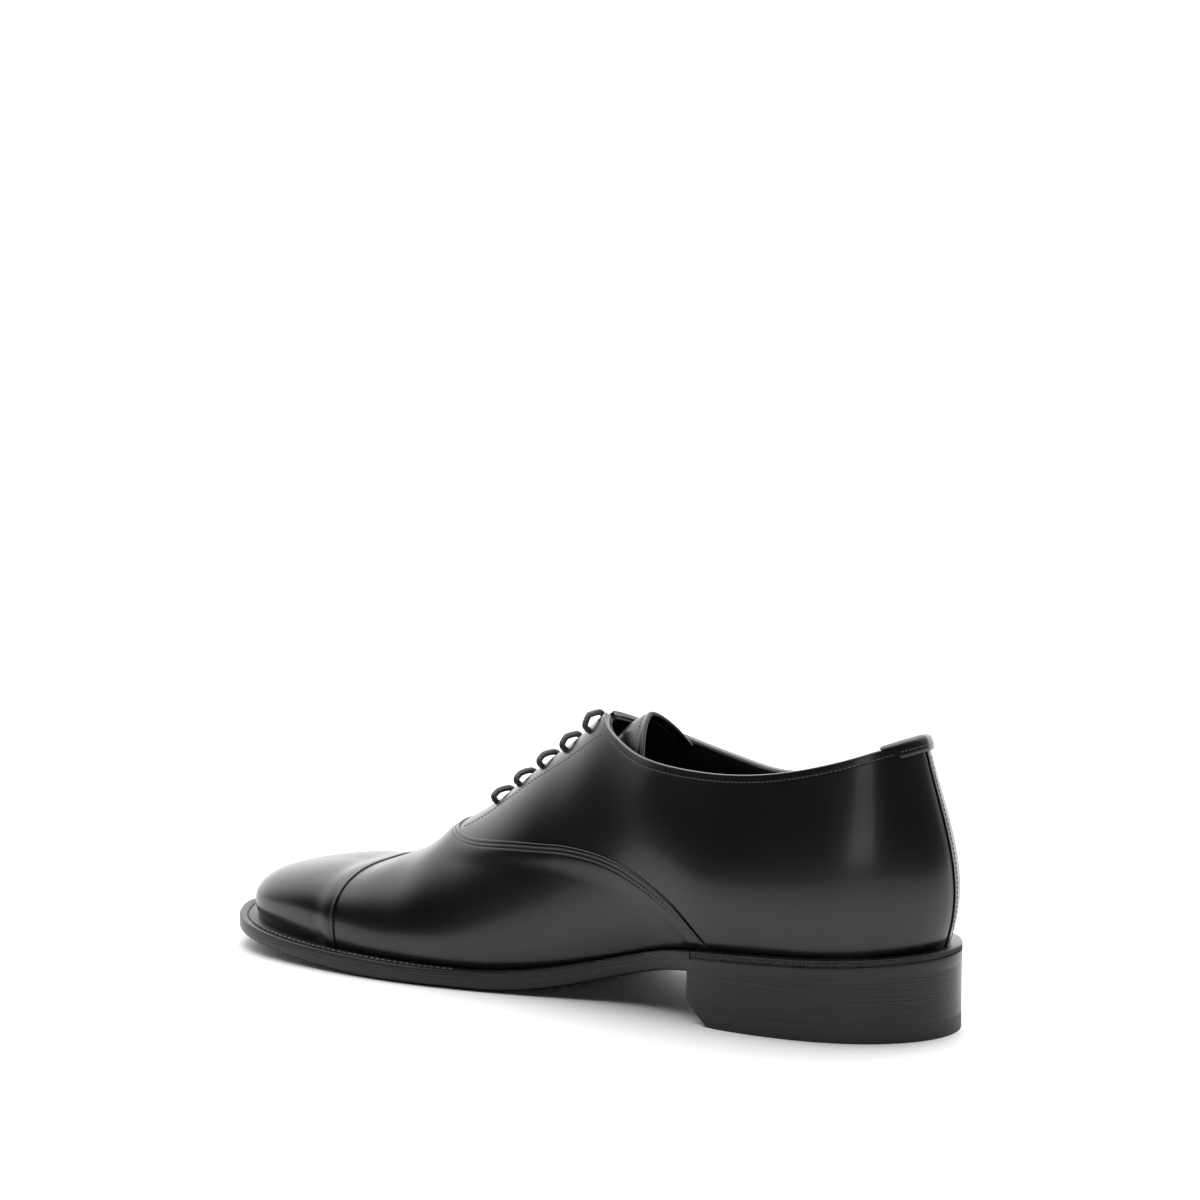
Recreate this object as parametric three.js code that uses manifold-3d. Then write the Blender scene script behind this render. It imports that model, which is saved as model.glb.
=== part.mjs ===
// A right-foot cap-toe oxford shoe, built from its separate pieces. Millimetres, +Z up.
// The design frame has the back of the heel at x = 0, the toe along +X, the inner (medial) side of the
// foot along +Y and the ground at z = 0. The exported group is moved so that its origin is the bottom
// centre of its box.
//
// The upper is one smooth surface, place(theta, v, depth). theta runs from the back of the heel (0) to
// the tip of the toe (pi) along the medial side, and with a minus sign along the lateral side. v runs
// from the crease above the welt (0) to the ridge of the instep (1), and from 0 to -1 across the margin
// that is folded in under the insole. depth is measured inwards from the outer face of the leather.

import * as THREE from "three";
import { mergeVertices } from "three/addons/utils/BufferGeometryUtils.js";
import Module from "manifold-3d";

const wasm = await Module();
wasm.setup();

// Driving dimensions
const SOLE_LENGTH = 306; // heel to toe along the edge of the outsole
const WELT = 2.6; // thickness of the welt and of the heel rand
const GAP = 0.3; // clearance kept between touching pieces
const LEATHER = 1.4; // upper leather
const STIFFENER = 0.9; // toe puff, counter and facing stays
const LINING = 1.0;
const LASTING_MARGIN = 9; // how far the upper is folded in under the insole
const HEEL_LIFTS = 4;
const TOP_PIECE = 6; // rubber top piece of the heel
const HEEL_BREAST = 86; // distance of the heel's front face from its back
const NOTCH = 9; // slanting cut at the medial front corner of the heel
const CAP_SEAM_X = 242; // the toe cap ends here
const EYELET_ROWS = 5;
const LACE = 2.4; // diameter of the round lace

// Levels of the layers, as depths below the outer face of the upper
const PUFF_TOP = LEATHER + GAP;
const LINING_TOP = PUFF_TOP + STIFFENER + GAP;
const LINING_BOTTOM = LINING_TOP + LINING;
const TONGUE_TOP = LINING_BOTTOM + 5; // room for the lace between the tongue and the facings
const TONGUE = 1.5;

const lerp = (a, b, t) => a + (b - a) * t;
const clamp = (x, low, high) => Math.min(high, Math.max(low, x));
const ease = (t) => {
  const s = clamp(t, 0, 1);
  return s * s * (3 - 2 * s);
};
const range = (n) => Array.from({ length: n }, (_, i) => i);

// Cubic spline through (keys, values). An end marked flat has no slope, any other end has no curvature.
function spline(keys, values, flatStart = false, flatEnd = false) {
  const n = keys.length - 1;
  const h = range(n).map((i) => keys[i + 1] - keys[i]);
  const slope = range(n).map((i) => (values[i + 1] - values[i]) / h[i]);
  const bend = new Array(n + 1).fill(0);
  for (let sweep = 0; sweep < 60; sweep++) {
    for (let i = 1; i < n; i++) {
      const rhs = 6 * (slope[i] - slope[i - 1]);
      bend[i] = (rhs - h[i - 1] * bend[i - 1] - h[i] * bend[i + 1]) / (2 * (h[i - 1] + h[i]));
    }
    if (flatStart) bend[0] = (6 * slope[0]) / h[0] / 2 - bend[1] / 2;
    if (flatEnd) bend[n] = (-6 * slope[n - 1]) / h[n - 1] / 2 - bend[n - 1] / 2;
  }
  return (x) => {
    let i = 0;
    while (i < n - 1 && x > keys[i + 1]) i++;
    const a = (keys[i + 1] - x) / h[i];
    const b = 1 - a;
    const curve = ((a ** 3 - a) * bend[i] + (b ** 3 - b) * bend[i + 1]) * h[i] * h[i];
    return a * values[i] + b * values[i + 1] + curve / 6;
  };
}

// Stations along the shoe. A station is named by how far it is from the back of the heel.
const thetaOf = (x) => Math.acos(clamp(1 - (2 * x) / SOLE_LENGTH, -1, 1));
const xOf = (theta) => (SOLE_LENGTH * (1 - Math.cos(theta))) / 2;
const stations = (from, to, steps) =>
  range(steps + 1).map((i) => lerp(thetaOf(from), thetaOf(to), i / steps));

// A quantity that varies along the shoe, given at stations [x, medial value, lateral value].
function along(stations, odd = false) {
  const keys = stations.map(([x]) => thetaOf(x));
  const valuesOf = (k) => stations.map((row) => row[Math.min(k, row.length - 1)]);
  const sides = [1, 2].map((k) => spline(keys, valuesOf(k), !odd, !odd));
  return (theta) => (theta >= 0 ? sides[0](theta) : sides[1](-theta));
}

// Edge of the sole in plan
const soleHalfWidth = along(
  [
    [0, 0, 0],
    [10, 22, 21],
    [30, 34.5, 32.5],
    [60, 40, 35.5],
    [85, 37.5, 35],
    [110, 29, 36.5],
    [140, 31.5, 42],
    [170, 38.5, 49.5],
    [200, 43.5, 56],
    [225, 44.5, 58],
    [250, 42.5, 54],
    [270, 38.8, 46],
    [285, 33.6, 36],
    [297, 24.5, 24],
    [303, 14.5, 12.5],
    [306, 3, -3],
  ],
  true,
);
const soleEdge = (theta) => new THREE.Vector2(xOf(theta), Math.sign(theta || 1) * soleHalfWidth(theta));

// Outward normal of the sole's edge in plan
function outward(theta) {
  const side = theta >= 0 ? 1 : -1;
  const t = clamp(Math.abs(theta), 1e-3, Math.PI - 1e-3);
  const a = soleEdge(side * (t - 1e-3));
  const b = soleEdge(side * (t + 1e-3));
  const normal = new THREE.Vector2(-(b.y - a.y), b.x - a.x).normalize();
  return side > 0 ? normal : normal.negate();
}

// Top of the outsole over x: level under the ball, rising through the waist to the heel and springing
// up at the toe. Then the outsole's thickness over x.
const deckCurve = spline(
  [0, 40, 75, 95, 120, 150, 180, 205, 225, 255, 285, 306],
  [28.1, 25.8, 24.2, 21.8, 15.5, 8.1, 4.4, 4.1, 4.5, 5.4, 7.6, 10.1],
);
const outsoleCurve = spline(
  [0, 75, 100, 130, 150, 170, 190, 205, 225, 255, 285, 306],
  [3.9, 4, 4.8, 5.1, 5.4, 5, 4.4, 4.1, 4.1, 3.2, 2.8, 2.9],
);
const deck = (x) => deckCurve(clamp(x, 0, SOLE_LENGTH));
const underside = (x) => Math.max(0, deck(x) - outsoleCurve(clamp(x, 0, SOLE_LENGTH)));
const WELT_BASE = GAP;
const WELT_TOP = WELT_BASE + WELT;
const CREASE = WELT_TOP + GAP; // height of the crease above the outsole

// How far the crease of the upper lies inside the edge of the sole
const weltWidth = along([
  [0, 4.2, 4.2],
  [60, 4.6, 4.2],
  [95, 3, 3.4],
  [120, 1.8, 3.6],
  [150, 3.2, 4.6],
  [185, 5.2, 5.6],
  [240, 6.4, 6.4],
  [268, 8, 7.6],
  [290, 8.2, 7.8],
  [306, 6.6, 6.6],
]);
// Ridge of the instep, and behind it the top of the cone that the quarters lean towards
const ridgeX = along([
  [0, 15],
  [10, 20],
  [30, 36],
  [60, 62],
  [95, 95],
  [120, 120],
  [150, 150],
  [200, 200],
  [250, 250],
  [270, 269.5],
  [287, 286],
  [297, 294.6],
  [303, 298.4],
  [306, 299.4],
]);
const ridgeY = along([
  [0, 0, 0],
  [10, 12, -12],
  [30, 20, -20],
  [60, 22, -22],
  [95, 16, -19],
  [113, 8, -10],
  [130, 0, 0],
  [160, 0, 0],
  [200, 0, 0],
  [240, 0.5, 0.5],
  [280, 2.2, 2.2],
  [306, 3, 3],
]);
const ridgeHeight = along(
  [
    [0, 80, 80],
    [30, 82, 82],
    [60, 84, 84],
    [95, 88, 88],
    [120, 94, 94],
    [141, 91.4, 91.4],
    [152, 83.4, 83.4],
    [165, 75, 75],
    [180, 64.5, 64.5],
    [195, 54, 54],
    [207, 46.5, 46.5],
    [218, 38, 38],
    [230, 32, 32],
    [243, 27, 27],
    [260, 25.2, 25.2],
    [275, 22.6, 22.6],
    [287, 18.8, 18.8],
    [297, 13, 13],
    [303, 7, 7],
    [306, 0, 0],
  ],
  true,
);
// Flare of the wall above the crease, in degrees, and how far it stays vertical
const flare = along([
  [0, 20, 20],
  [60, 16, 14],
  [110, 34, 12],
  [150, 24, 14],
  [200, 16, 18],
  [250, 15, 16],
  [280, 22, 20],
  [306, 22, 22],
]);
const wallReach = along([
  [0, 0.36, 0.36],
  [60, 0.36, 0.36],
  [110, 0.3, 0.3],
  [150, 0.3, 0.3],
  [200, 0.42, 0.42],
  [243, 0.72, 0.66],
  [280, 0.66, 0.62],
  [306, 0.58, 0.58],
]);
// The way the wall arrives at the ridge: 90 comes straight up, 0 comes across
const arrival = along([
  [0, 80, 80],
  [60, 80, 80],
  [95, 62, 62],
  [115, 34, 34],
  [135, 8, 8],
  [160, 3, 3],
  [205, 2, 2],
  [225, 0, 0],
  [306, 0, 0],
]);
const topReach = along([
  [0, 30, 30],
  [60, 30, 30],
  [95, 27, 29],
  [120, 20, 24],
  [140, 20, 21],
  [170, 21, 21],
  [200, 20, 23],
  [225, 24, 30],
  [243, 29, 36],
  [270, 26, 31],
  [290, 18, 20],
  [301, 10, 10],
  [306, 0, 0],
], true);

// The four control points of the wall's profile at a station
function profile(theta) {
  const side = theta >= 0 ? 1 : -1;
  const n = outward(theta);
  const edge = soleEdge(theta);
  const inset = weltWidth(theta);
  const foot = new THREE.Vector3(edge.x - n.x * inset, edge.y - n.y * inset, 0);
  foot.z = deck(foot.x) + CREASE;
  const height = ridgeHeight(theta);
  const top = new THREE.Vector3(ridgeX(theta), ridgeY(theta), foot.z + height);
  const lean = THREE.MathUtils.degToRad(flare(theta));
  const reach = wallReach(theta) * height;
  const out = new THREE.Vector3(n.x, n.y, 0);
  const low = foot.clone().addScaledVector(out, reach * Math.sin(lean));
  low.z += reach * Math.cos(lean);
  const turn = THREE.MathUtils.degToRad(arrival(theta));
  const across = new THREE.Vector3(0, side, 0).lerp(out, Math.sin(turn) ** 2).normalize();
  const high = top.clone().addScaledVector(across, topReach(theta) * Math.cos(turn));
  high.z -= topReach(theta) * Math.sin(turn);
  return [foot, low, high, top];
}

function bezier([a, b, c, d], t) {
  const s = 1 - t;
  return new THREE.Vector3()
    .addScaledVector(a, s * s * s)
    .addScaledVector(b, 3 * s * s * t)
    .addScaledVector(c, 3 * s * t * t)
    .addScaledVector(d, t * t * t);
}

// Outer face of the upper, and its outward normal
const skin = (theta, v) => bezier(profile(theta), v);
function skinNormal(theta, v) {
  const side = theta >= 0 ? 1 : -1;
  const t = clamp(Math.abs(theta), 0.002, Math.PI - 0.02);
  const w = clamp(v, 0, 0.985);
  const du = skin(side * (t + 0.002), w).sub(skin(side * (t - 0.002), w));
  const dv = skin(side * t, w + 0.01).sub(skin(side * t, w));
  const normal = new THREE.Vector3().crossVectors(du, dv).multiplyScalar(-side).normalize();
  if (v > 0.985 && Math.abs(theta) > thetaOf(118)) normal.setY(normal.y * 0.2).normalize();
  return normal;
}

// A point of the upper at a depth below its outer face. Near the crease the layers turn in under the foot.
function place(theta, v, depth) {
  const foot = profile(theta)[0];
  if (v > 0) {
    const point = skin(theta, v);
    const rise = depth > 0 ? depth * Math.exp((foot.z - point.z) / depth) : 0;
    point.addScaledVector(skinNormal(theta, v), -depth);
    point.z += rise;
    return point;
  }
  const n = outward(theta);
  foot.addScaledVector(new THREE.Vector3(n.x, n.y, 0), v * LASTING_MARGIN - depth);
  foot.z = deck(foot.x) + CREASE + Math.max(depth, 0);
  return foot;
}

// Where a measure reaches zero in a span, or the high end of the span if it doesn't
function solve(measure, low, high) {
  const sign = Math.sign(measure(high));
  if (Math.sign(measure(low)) === sign) return high;
  let [a, b] = [low, high];
  for (let i = 0; i < 24; i++) {
    const middle = (a + b) / 2;
    if (Math.sign(measure(middle)) === sign) b = middle;
    else a = middle;
  }
  return (a + b) / 2;
}
// Height on a profile where the upper is a given distance from the middle plane
const vAtWidth = (theta, y) => solve((v) => y - Math.abs(skin(theta, v).y), 0.4, 1);

// Top edge of the quarters: height of the topline over x, then the edge of the facing
const TOPLINE_X = [8, 13.6, 22.4, 31.5, 41.6, 56, 71, 88, 101, 111.5, 120.4, 130, 138, 143.5, 152];
const topline = {
  medial: spline(
    TOPLINE_X,
    [105.4, 104, 101.2, 98.1, 95.1, 91.8, 89.8, 89.2, 89.7, 90.7, 92.2, 95.6, 99.6, 103.4, 109.4],
  ),
  lateral: spline(
    TOPLINE_X,
    [105.4, 103.8, 99.8, 95.6, 91.2, 86.2, 82.6, 81.6, 84.4, 87.8, 91.6, 96, 99.6, 103, 108],
  ),
};
const facingGap = (x) => lerp(2.5, 0.9, clamp((x - 142) / 62, 0, 1)); // half the width of the lacing gap
function topV(theta) {
  const edge = theta >= 0 ? topline.medial : topline.lateral;
  const x = xOf(Math.abs(theta));
  const atFacing = x > 118 ? vAtWidth(theta, facingGap(x)) : 1;
  const above = (v) => {
    const point = skin(theta, v);
    return point.z - edge(clamp(point.x, 8, 152));
  };
  const atTopline = solve(above, 0.3, 1);
  return Math.min(atFacing, atTopline);
}
// Station of the top corner of a facing
function cornerTheta(side) {
  const edge = side > 0 ? topline.medial : topline.lateral;
  const over = (theta) => {
    const point = skin(side * theta, vAtWidth(side * theta, facingGap(xOf(theta))));
    return edge(clamp(point.x, 8, 152)) - point.z;
  };
  return solve(over, thetaOf(126), thetaOf(150));
}

// Rear edge of the vamp: station reached at each height of the wall
const SEAM_V = [0, 0.06, 0.168, 0.281, 0.348, 0.387, 0.44, 0.5, 0.568, 0.686, 0.765, 0.83, 0.92, 1];
const seamX = {
  medial: spline(
    SEAM_V,
    [79.5, 83, 89.6, 102.5, 119.5, 134.5, 148.2, 161.9, 176.3, 193.2, 199, 202.3, 204, 204.5],
  ),
  lateral: spline(
    SEAM_V,
    [82, 85.5, 92, 105, 121.5, 136.5, 150, 163.5, 177.5, 193.6, 199.2, 202.3, 204, 204.5],
  ),
};
const seamV = (side, theta) => {
  const edge = side > 0 ? seamX.medial : seamX.lateral;
  return solve((v) => edge(v) - xOf(Math.abs(theta)) + 1e-6, -0.001, 1);
};
const seamStart = (side) => thetaOf((side > 0 ? seamX.medial : seamX.lateral)(0));
const THROAT = thetaOf(204.5);

// Lift of one piece over the edge of the piece below it, which is pared thin there
const OVERLAP = 6;
const PARED = 0.5;
const LIFT = PARED + GAP + 0.1;
const pared = LEATHER - PARED;
const lifted = (distance) => LIFT * (1 - ease((distance - OVERLAP - 0.5) / 6));

// Length of wall per unit of v near the top of a profile
const wallScale = (theta, v) => skin(theta, v).distanceTo(skin(theta, v - 0.05)) / 0.05;

// Meshes
const parts = new THREE.Group();
parts.name = "oxford_shoe";

function signedVolume(points, triangles) {
  const cross = new THREE.Vector3();
  const wedge = ([i, j, k]) => points[i].dot(cross.crossVectors(points[j], points[k])) / 6;
  return triangles.reduce((sum, triangle) => sum + wedge(triangle), 0);
}

// Joins points that coincide and drops the triangles this collapses
function weld(points, triangles) {
  const seen = new Map();
  const kept = [];
  const index = points.map((p) => {
    const key = p.toArray().map((q) => Math.round(q * 200)).join();
    if (!seen.has(key)) seen.set(key, kept.push(p) - 1);
    return seen.get(key);
  });
  const renamed = triangles.map((triangle) => triangle.map((i) => index[i]));
  return { points: kept, triangles: renamed.filter(([i, j, k]) => i !== j && j !== k && k !== i) };
}

function toGeometry({ points, triangles }) {
  const flip = signedVolume(points, triangles) < 0;
  const geometry = new THREE.BufferGeometry();
  const coordinates = points.flatMap((point) => point.toArray());
  geometry.setAttribute("position", new THREE.Float32BufferAttribute(coordinates, 3));
  geometry.setIndex(triangles.flatMap(([i, j, k]) => (flip ? [i, k, j] : [i, j, k])));
  return geometry;
}

// Geometry of a three.js class, as welded points and triangles
function plain(geometry) {
  geometry.deleteAttribute("normal");
  geometry.deleteAttribute("uv");
  const merged = geometry.index ? geometry : mergeVertices(geometry, 1e-4);
  const position = merged.getAttribute("position");
  const points = range(position.count).map((i) => new THREE.Vector3().fromBufferAttribute(position, i));
  const corners = (i) => [0, 1, 2].map((k) => merged.index.getX(3 * i + k));
  const triangles = range(merged.index.count / 3).map(corners);
  return toGeometry(weld(points, triangles));
}

function toManifold(geometry) {
  const vertProperties = new Float32Array(geometry.getAttribute("position").array);
  const triVerts = new Uint32Array(geometry.index.array);
  return new wasm.Manifold(new wasm.Mesh({ numProp: 3, vertProperties, triVerts }));
}
function fromManifold(manifold) {
  const mesh = manifold.getMesh();
  const pointAt = (i) => new THREE.Vector3().fromArray(mesh.vertProperties, 3 * i);
  const points = range(mesh.vertProperties.length / 3).map(pointAt);
  const corners = (i) => Array.from(mesh.triVerts.slice(3 * i, 3 * i + 3));
  const triangles = range(mesh.triVerts.length / 3).map(corners);
  return toGeometry({ points, triangles });
}
const subtract = (geometry, cutters) =>
  fromManifold(cutters.reduce((body, cutter) => body.subtract(toManifold(cutter)), toManifold(geometry)));

function add(name, geometry, { color, roughness, metalness = 0 }) {
  geometry.computeVertexNormals();
  const material = new THREE.MeshStandardMaterial({ name, color, roughness, metalness });
  const mesh = new THREE.Mesh(geometry, material);
  mesh.name = name;
  parts.add(mesh);
}

// Closed leather layer over a grid of { theta, v } spots. outer and inner give the depths of its two faces.
function layer(grid, outer, inner) {
  const columns = grid[0].length;
  const seen = new Map();
  const kept = [];
  const index = grid.flat().map((spot) => {
    const key = place(spot.theta, spot.v, 0).toArray().map((q) => Math.round(q * 50)).join();
    if (!seen.has(key)) seen.set(key, kept.push(spot) - 1);
    return seen.get(key);
  });
  const skins = kept.map((spot) => place(spot.theta, spot.v, 0));
  const span = (i, j) => skins[i].distanceTo(skins[j]);
  const faces = [];
  for (let i = 0; i < grid.length - 1; i++) {
    for (let j = 0; j < columns - 1; j++) {
      const [near, far] = [i * columns + j, (i + 1) * columns + j];
      const quad = [near, far, far + 1, near + 1].map((k) => index[k]);
      if (quad.every((k) => kept[k].rim)) continue; // the two walls meet only at the ridge
      const direct = span(quad[0], quad[2]) < span(quad[1], quad[3]);
      const [a, b, c, d] = direct ? quad : [...quad.slice(1), quad[0]];
      faces.push([a, b, c], [a, c, d]);
    }
  }
  const top = faces.filter(([a, b, c]) => a !== b && b !== c && c !== a);
  const count = kept.length;
  const face = (depth) => kept.map((spot) => place(spot.theta, spot.v, depth(spot)));
  const edges = new Set(top.flatMap(([a, b, c]) => [`${a},${b}`, `${b},${c}`, `${c},${a}`]));
  const ends = [...edges].map((edge) => edge.split(",").map(Number));
  const rim = ends.filter(([a, b]) => !edges.has(`${b},${a}`));
  const walls = rim.flatMap(([a, b]) => [[b, a, a + count], [b, a + count, b + count]]);
  const bottom = top.map(([a, b, c]) => [c + count, b + count, a + count]);
  return toGeometry({ points: [...face(outer), ...face(inner)], triangles: [...top, ...bottom, ...walls] });
}
const flat = (depth) => () => depth;

// Closed solid through a row of rings that all have the same number of corners
function loft(rings) {
  const corners = rings[0].length;
  const points = rings.flat();
  const triangles = [];
  for (let i = 0; i < rings.length - 1; i++) {
    for (let k = 0; k < corners; k++) {
      const [a, b] = [i * corners + k, i * corners + ((k + 1) % corners)];
      triangles.push([a, b, b + corners], [a, b + corners, a + corners]);
    }
  }
  const last = (rings.length - 1) * corners;
  for (let k = 1; k < corners - 1; k++) triangles.push([0, k + 1, k], [last, last + k, last + k + 1]);
  return toGeometry(weld(points, triangles));
}

// Point under the foot, a distance in from the sole's edge, on a level that is a height over x
function underfoot(theta, inset, level) {
  const edge = soleEdge(theta);
  const n = outward(theta);
  const x = edge.x - n.x * inset;
  return new THREE.Vector3(x, edge.y - n.y * inset, level(x));
}
const over = (height) => (x) => deck(x) + height;
// Strip along the edge of the sole. It may run on past the toe, from the medial to the lateral side.
function strip(from, to, steps, section) {
  return loft(
    range(steps + 1).map((i) => {
      const s = lerp(from, to, i / steps);
      const theta = s > Math.PI ? s - 2 * Math.PI : s;
      return section(theta).map(([inset, level]) => underfoot(theta, inset, level));
    }),
  );
}
// Plate across the shoe. section gives its medial corners; the lateral ones mirror them.
function plate(fromX, toX, steps, section) {
  return loft(
    stations(fromX, toX, steps).map((theta) => {
      const medial = section(theta).map(([inset, level]) => underfoot(theta, inset, level));
      const lateral = section(-theta).map(([inset, level]) => underfoot(-theta, inset, level));
      return [...medial, ...lateral.reverse()];
    }),
  );
}
const slab = (inset, low, high) => (theta) => [[inset(theta), low], [inset(theta), high]];
// Straight bar along the shoe
function bar(fromX, toX, steps, halfWidth, low, high) {
  return loft(
    range(steps + 1).map((i) => {
      const x = lerp(fromX, toX, i / steps);
      const corners = [[halfWidth, low], [halfWidth, high], [-halfWidth, high], [-halfWidth, low]];
      return corners.map(([y, level]) => new THREE.Vector3(x, y, level(x)));
    }),
  );
}

function tube(points, radius, steps, sides) {
  const circle = new THREE.Shape(range(sides).map((i) => {
    const turn = (2 * Math.PI * i) / sides;
    return new THREE.Vector2(radius * Math.cos(turn), radius * Math.sin(turn));
  }));
  const extrudePath = new THREE.CatmullRomCurve3(points, false, "centripetal");
  return plain(new THREE.ExtrudeGeometry(circle, { steps, extrudePath, bevelEnabled: false }));
}

// Cylinder or ring standing on a point, its axis along a direction
function round(radius, bore, height, sides, centre, axis) {
  const half = height / 2;
  const outline = [[bore, -half], [radius, -half], [radius, half], [bore, half], [bore, -half]];
  const geometry = bore
    ? new THREE.LatheGeometry(outline.map(([r, y]) => new THREE.Vector2(r, y)), sides)
    : new THREE.CylinderGeometry(radius, radius, height, sides);
  geometry.applyQuaternion(new THREE.Quaternion().setFromUnitVectors(new THREE.Vector3(0, 1, 0), axis));
  geometry.translate(centre.x, centre.y, centre.z);
  return plain(geometry);
}

// Materials
const calf = { color: 0x0b0b0c, roughness: 0.28 };
const edgeDressing = { color: 0x121110, roughness: 0.42 };
const liningLeather = { color: 0x15120f, roughness: 0.62 };
const board = { color: 0x8a6a46, roughness: 0.85 };
const cork = { color: 0xa67c4e, roughness: 0.95 };
const rubber = { color: 0x101011, roughness: 0.7 };
const steel = { color: 0x9a9da2, roughness: 0.35, metalness: 1 };
const brass = { color: 0xb58f45, roughness: 0.35, metalness: 1 };
const cotton = { color: 0x0c0c0c, roughness: 0.6 };

// Sole unit
function buildSole() {
  const nearBreast = thetaOf(HEEL_BREAST);
  const edge = [[1.6, underside], [0, (x) => underside(x) + 1.2], [0, deck]];
  add("outsole", plate(0, SOLE_LENGTH, 40, () => edge), edgeDressing);
  const upto = (theta) => weltWidth(theta) + LASTING_MARGIN + 1;
  const section = (theta) => {
    const [low, high] = [over(WELT_BASE), over(WELT_TOP)];
    return [[0, low], [0, high], [upto(theta), high], [upto(theta), low]];
  };
  add("welt", strip(nearBreast + 0.004, 2 * Math.PI - nearBreast - 0.004, 56, section), edgeDressing);
  add("heel_rand", strip(-nearBreast, nearBreast, 24, section), edgeDressing);

  const inside = (theta) => upto(theta) + 4.5;
  const insoleBase = CREASE + LINING_BOTTOM + GAP;
  const ceiling = over(insoleBase - GAP);
  add("cork_filler", plate(154, 284, 16, slab(inside, over(WELT_BASE), ceiling)), cork);
  add("shank", bar(40, 150, 14, 7, over(WELT_BASE), over(WELT_BASE + 1.6)), steel);
  add("shank_cover", plate(22, 152, 16, slab(inside, over(WELT_BASE + 1.6 + GAP), ceiling)), board);
  const drawnIn = (theta) => 2 * ease((xOf(Math.abs(theta)) - 250) / 50);
  const insoleInset = (theta) => weltWidth(theta) + LINING_BOTTOM + 2.2 + drawnIn(theta);
  const insoleTop = insoleBase + 2.4;
  add("insole", plate(0, SOLE_LENGTH, 32, slab(insoleInset, over(insoleBase), over(insoleTop))), board);
  const sockInset = (theta) => insoleInset(theta) + 1;
  const sock = slab(sockInset, over(insoleTop + GAP), over(insoleTop + GAP + 0.8));
  add("heel_sock", plate(0, 92, 14, sock), liningLeather);
}

// Heel: lifts of leather over a rubber top piece, with a slanting cut at the medial front corner
function buildHeel() {
  const breast = HEEL_BREAST + 2;
  const cutNormal = new THREE.Vector3(1, 0.62, -1).normalize();
  const cutPoint = new THREE.Vector3(breast, 38, NOTCH);
  const kept = cutNormal.clone().negate();
  const cut = (geometry) =>
    fromManifold(toManifold(geometry).trimByPlane(kept.toArray(), kept.dot(cutPoint)));
  const level = (k) => (x) => lerp(TOP_PIECE, underside(x) - GAP, k / HEEL_LIFTS);
  const taper = (k) => () => 0.35 * (1 - k / HEEL_LIFTS);
  for (const k of range(HEEL_LIFTS)) {
    const low = (x) => level(k)(x) + GAP;
    add(`heel_lift_${k + 1}`, cut(plate(0, breast, 16, slab(taper(k), low, level(k + 1)))), edgeDressing);
  }
  const nailPlaces = [[14, 0], [30, 19], [30, -19], [66, 24], [66, -24]];
  const nails = nailPlaces.map(([x, y]) => new THREE.Vector3(x, y, 2));
  const up = new THREE.Vector3(0, 0, 1);
  const topPiece = cut(plate(0, breast, 16, slab(taper(0), () => 0, () => TOP_PIECE)));
  add("top_piece", subtract(topPiece, nails.map((spot) => round(1.6, 0, 5, 10, spot, up))), rubber);
  nails.forEach((spot, i) => add(`heel_nail_${i + 1}`, round(1.2, 0, 3.8, 10, spot.setZ(2.1), up), brass));
}

// Stations of the columns that the quarters and the vamp share along their seam, with one at the
// facing's corner
const TO_CORNER = [0, 0.03, 0.08, 0.17, 0.3, 0.44, 0.58, 0.71, 0.82, 0.92];
const TO_THROAT = [0, 0.2, 0.4, 0.6, 0.78, 0.9, 0.97, 1];
function seamColumns(side) {
  const corner = cornerTheta(side);
  const rear = TO_CORNER.map((share) => lerp(seamStart(side), corner, share));
  return [...rear, ...TO_THROAT.map((share) => lerp(corner, THROAT, share))];
}

// Spots of a wall of the forepart at a station, from the folded-in margin up to the seam or the ridge
function wall(side, theta) {
  const top = theta < THROAT ? Math.max(0, seamV(side, side * theta)) : 1;
  const scale = wallScale(side * theta, Math.max(top, 0.1));
  const near = Math.max(top - OVERLAP / scale, 0.75 * top);
  const open = Math.max(top - (2 * OVERLAP + 1) / scale, 0.5 * top);
  const rows = [-1, 0, 0.22 * open, 0.46 * open, 0.73 * open, open, near, top];
  return rows.map((v, i) => {
    const ahead = Math.max(0, xOf(theta) - xOf(THROAT));
    const distance = Math.hypot(ahead, (top - v) * scale);
    return { theta: side * theta, v, rim: i === 7, lift: lifted(distance) * clamp(v / 0.04, 0, 1) };
  });
}
// Both walls at a station, from the medial margin over the ridge to the lateral margin
const bothWalls = (medial, lateral) => [...wall(1, medial), ...wall(-1, lateral).reverse()];
const CAP_STATIONS = stations(CAP_SEAM_X + OVERLAP, SOLE_LENGTH, 9);

function buildForepart() {
  const capLift = (spot) => lifted(xOf(Math.abs(spot.theta)) - CAP_SEAM_X);
  const capGrid = [thetaOf(CAP_SEAM_X), ...CAP_STATIONS].map((theta) => bothWalls(theta, theta));
  add("toe_cap", layer(capGrid, (spot) => -capLift(spot), (spot) => LEATHER - capLift(spot)), calf);
  add("toe_puff", layer(capGrid.slice(1), flat(PUFF_TOP), flat(PUFF_TOP + STIFFENER - 0.3)), board);

  const lateral = seamColumns(-1);
  const open = range(5).map((i) => lerp(THROAT, thetaOf(CAP_SEAM_X - 0.8), (i + 1) / 5));
  const rear = seamColumns(1).map((theta, i) => bothWalls(theta, lateral[i]));
  const front = [...rear, ...open.map((theta) => bothWalls(theta, theta))];
  const under = capGrid.slice(0, 2).map((row) => row.map((spot) => ({ ...spot, pared })));
  const vampTop = (spot) => (spot.pared ?? 0) - spot.lift;
  add("vamp", layer([...front, ...under], vampTop, (spot) => LEATHER - spot.lift), calf);
  add("vamp_lining", layer([...front, ...capGrid], flat(LINING_TOP), flat(LINING_BOTTOM)), liningLeather);
}

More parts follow.
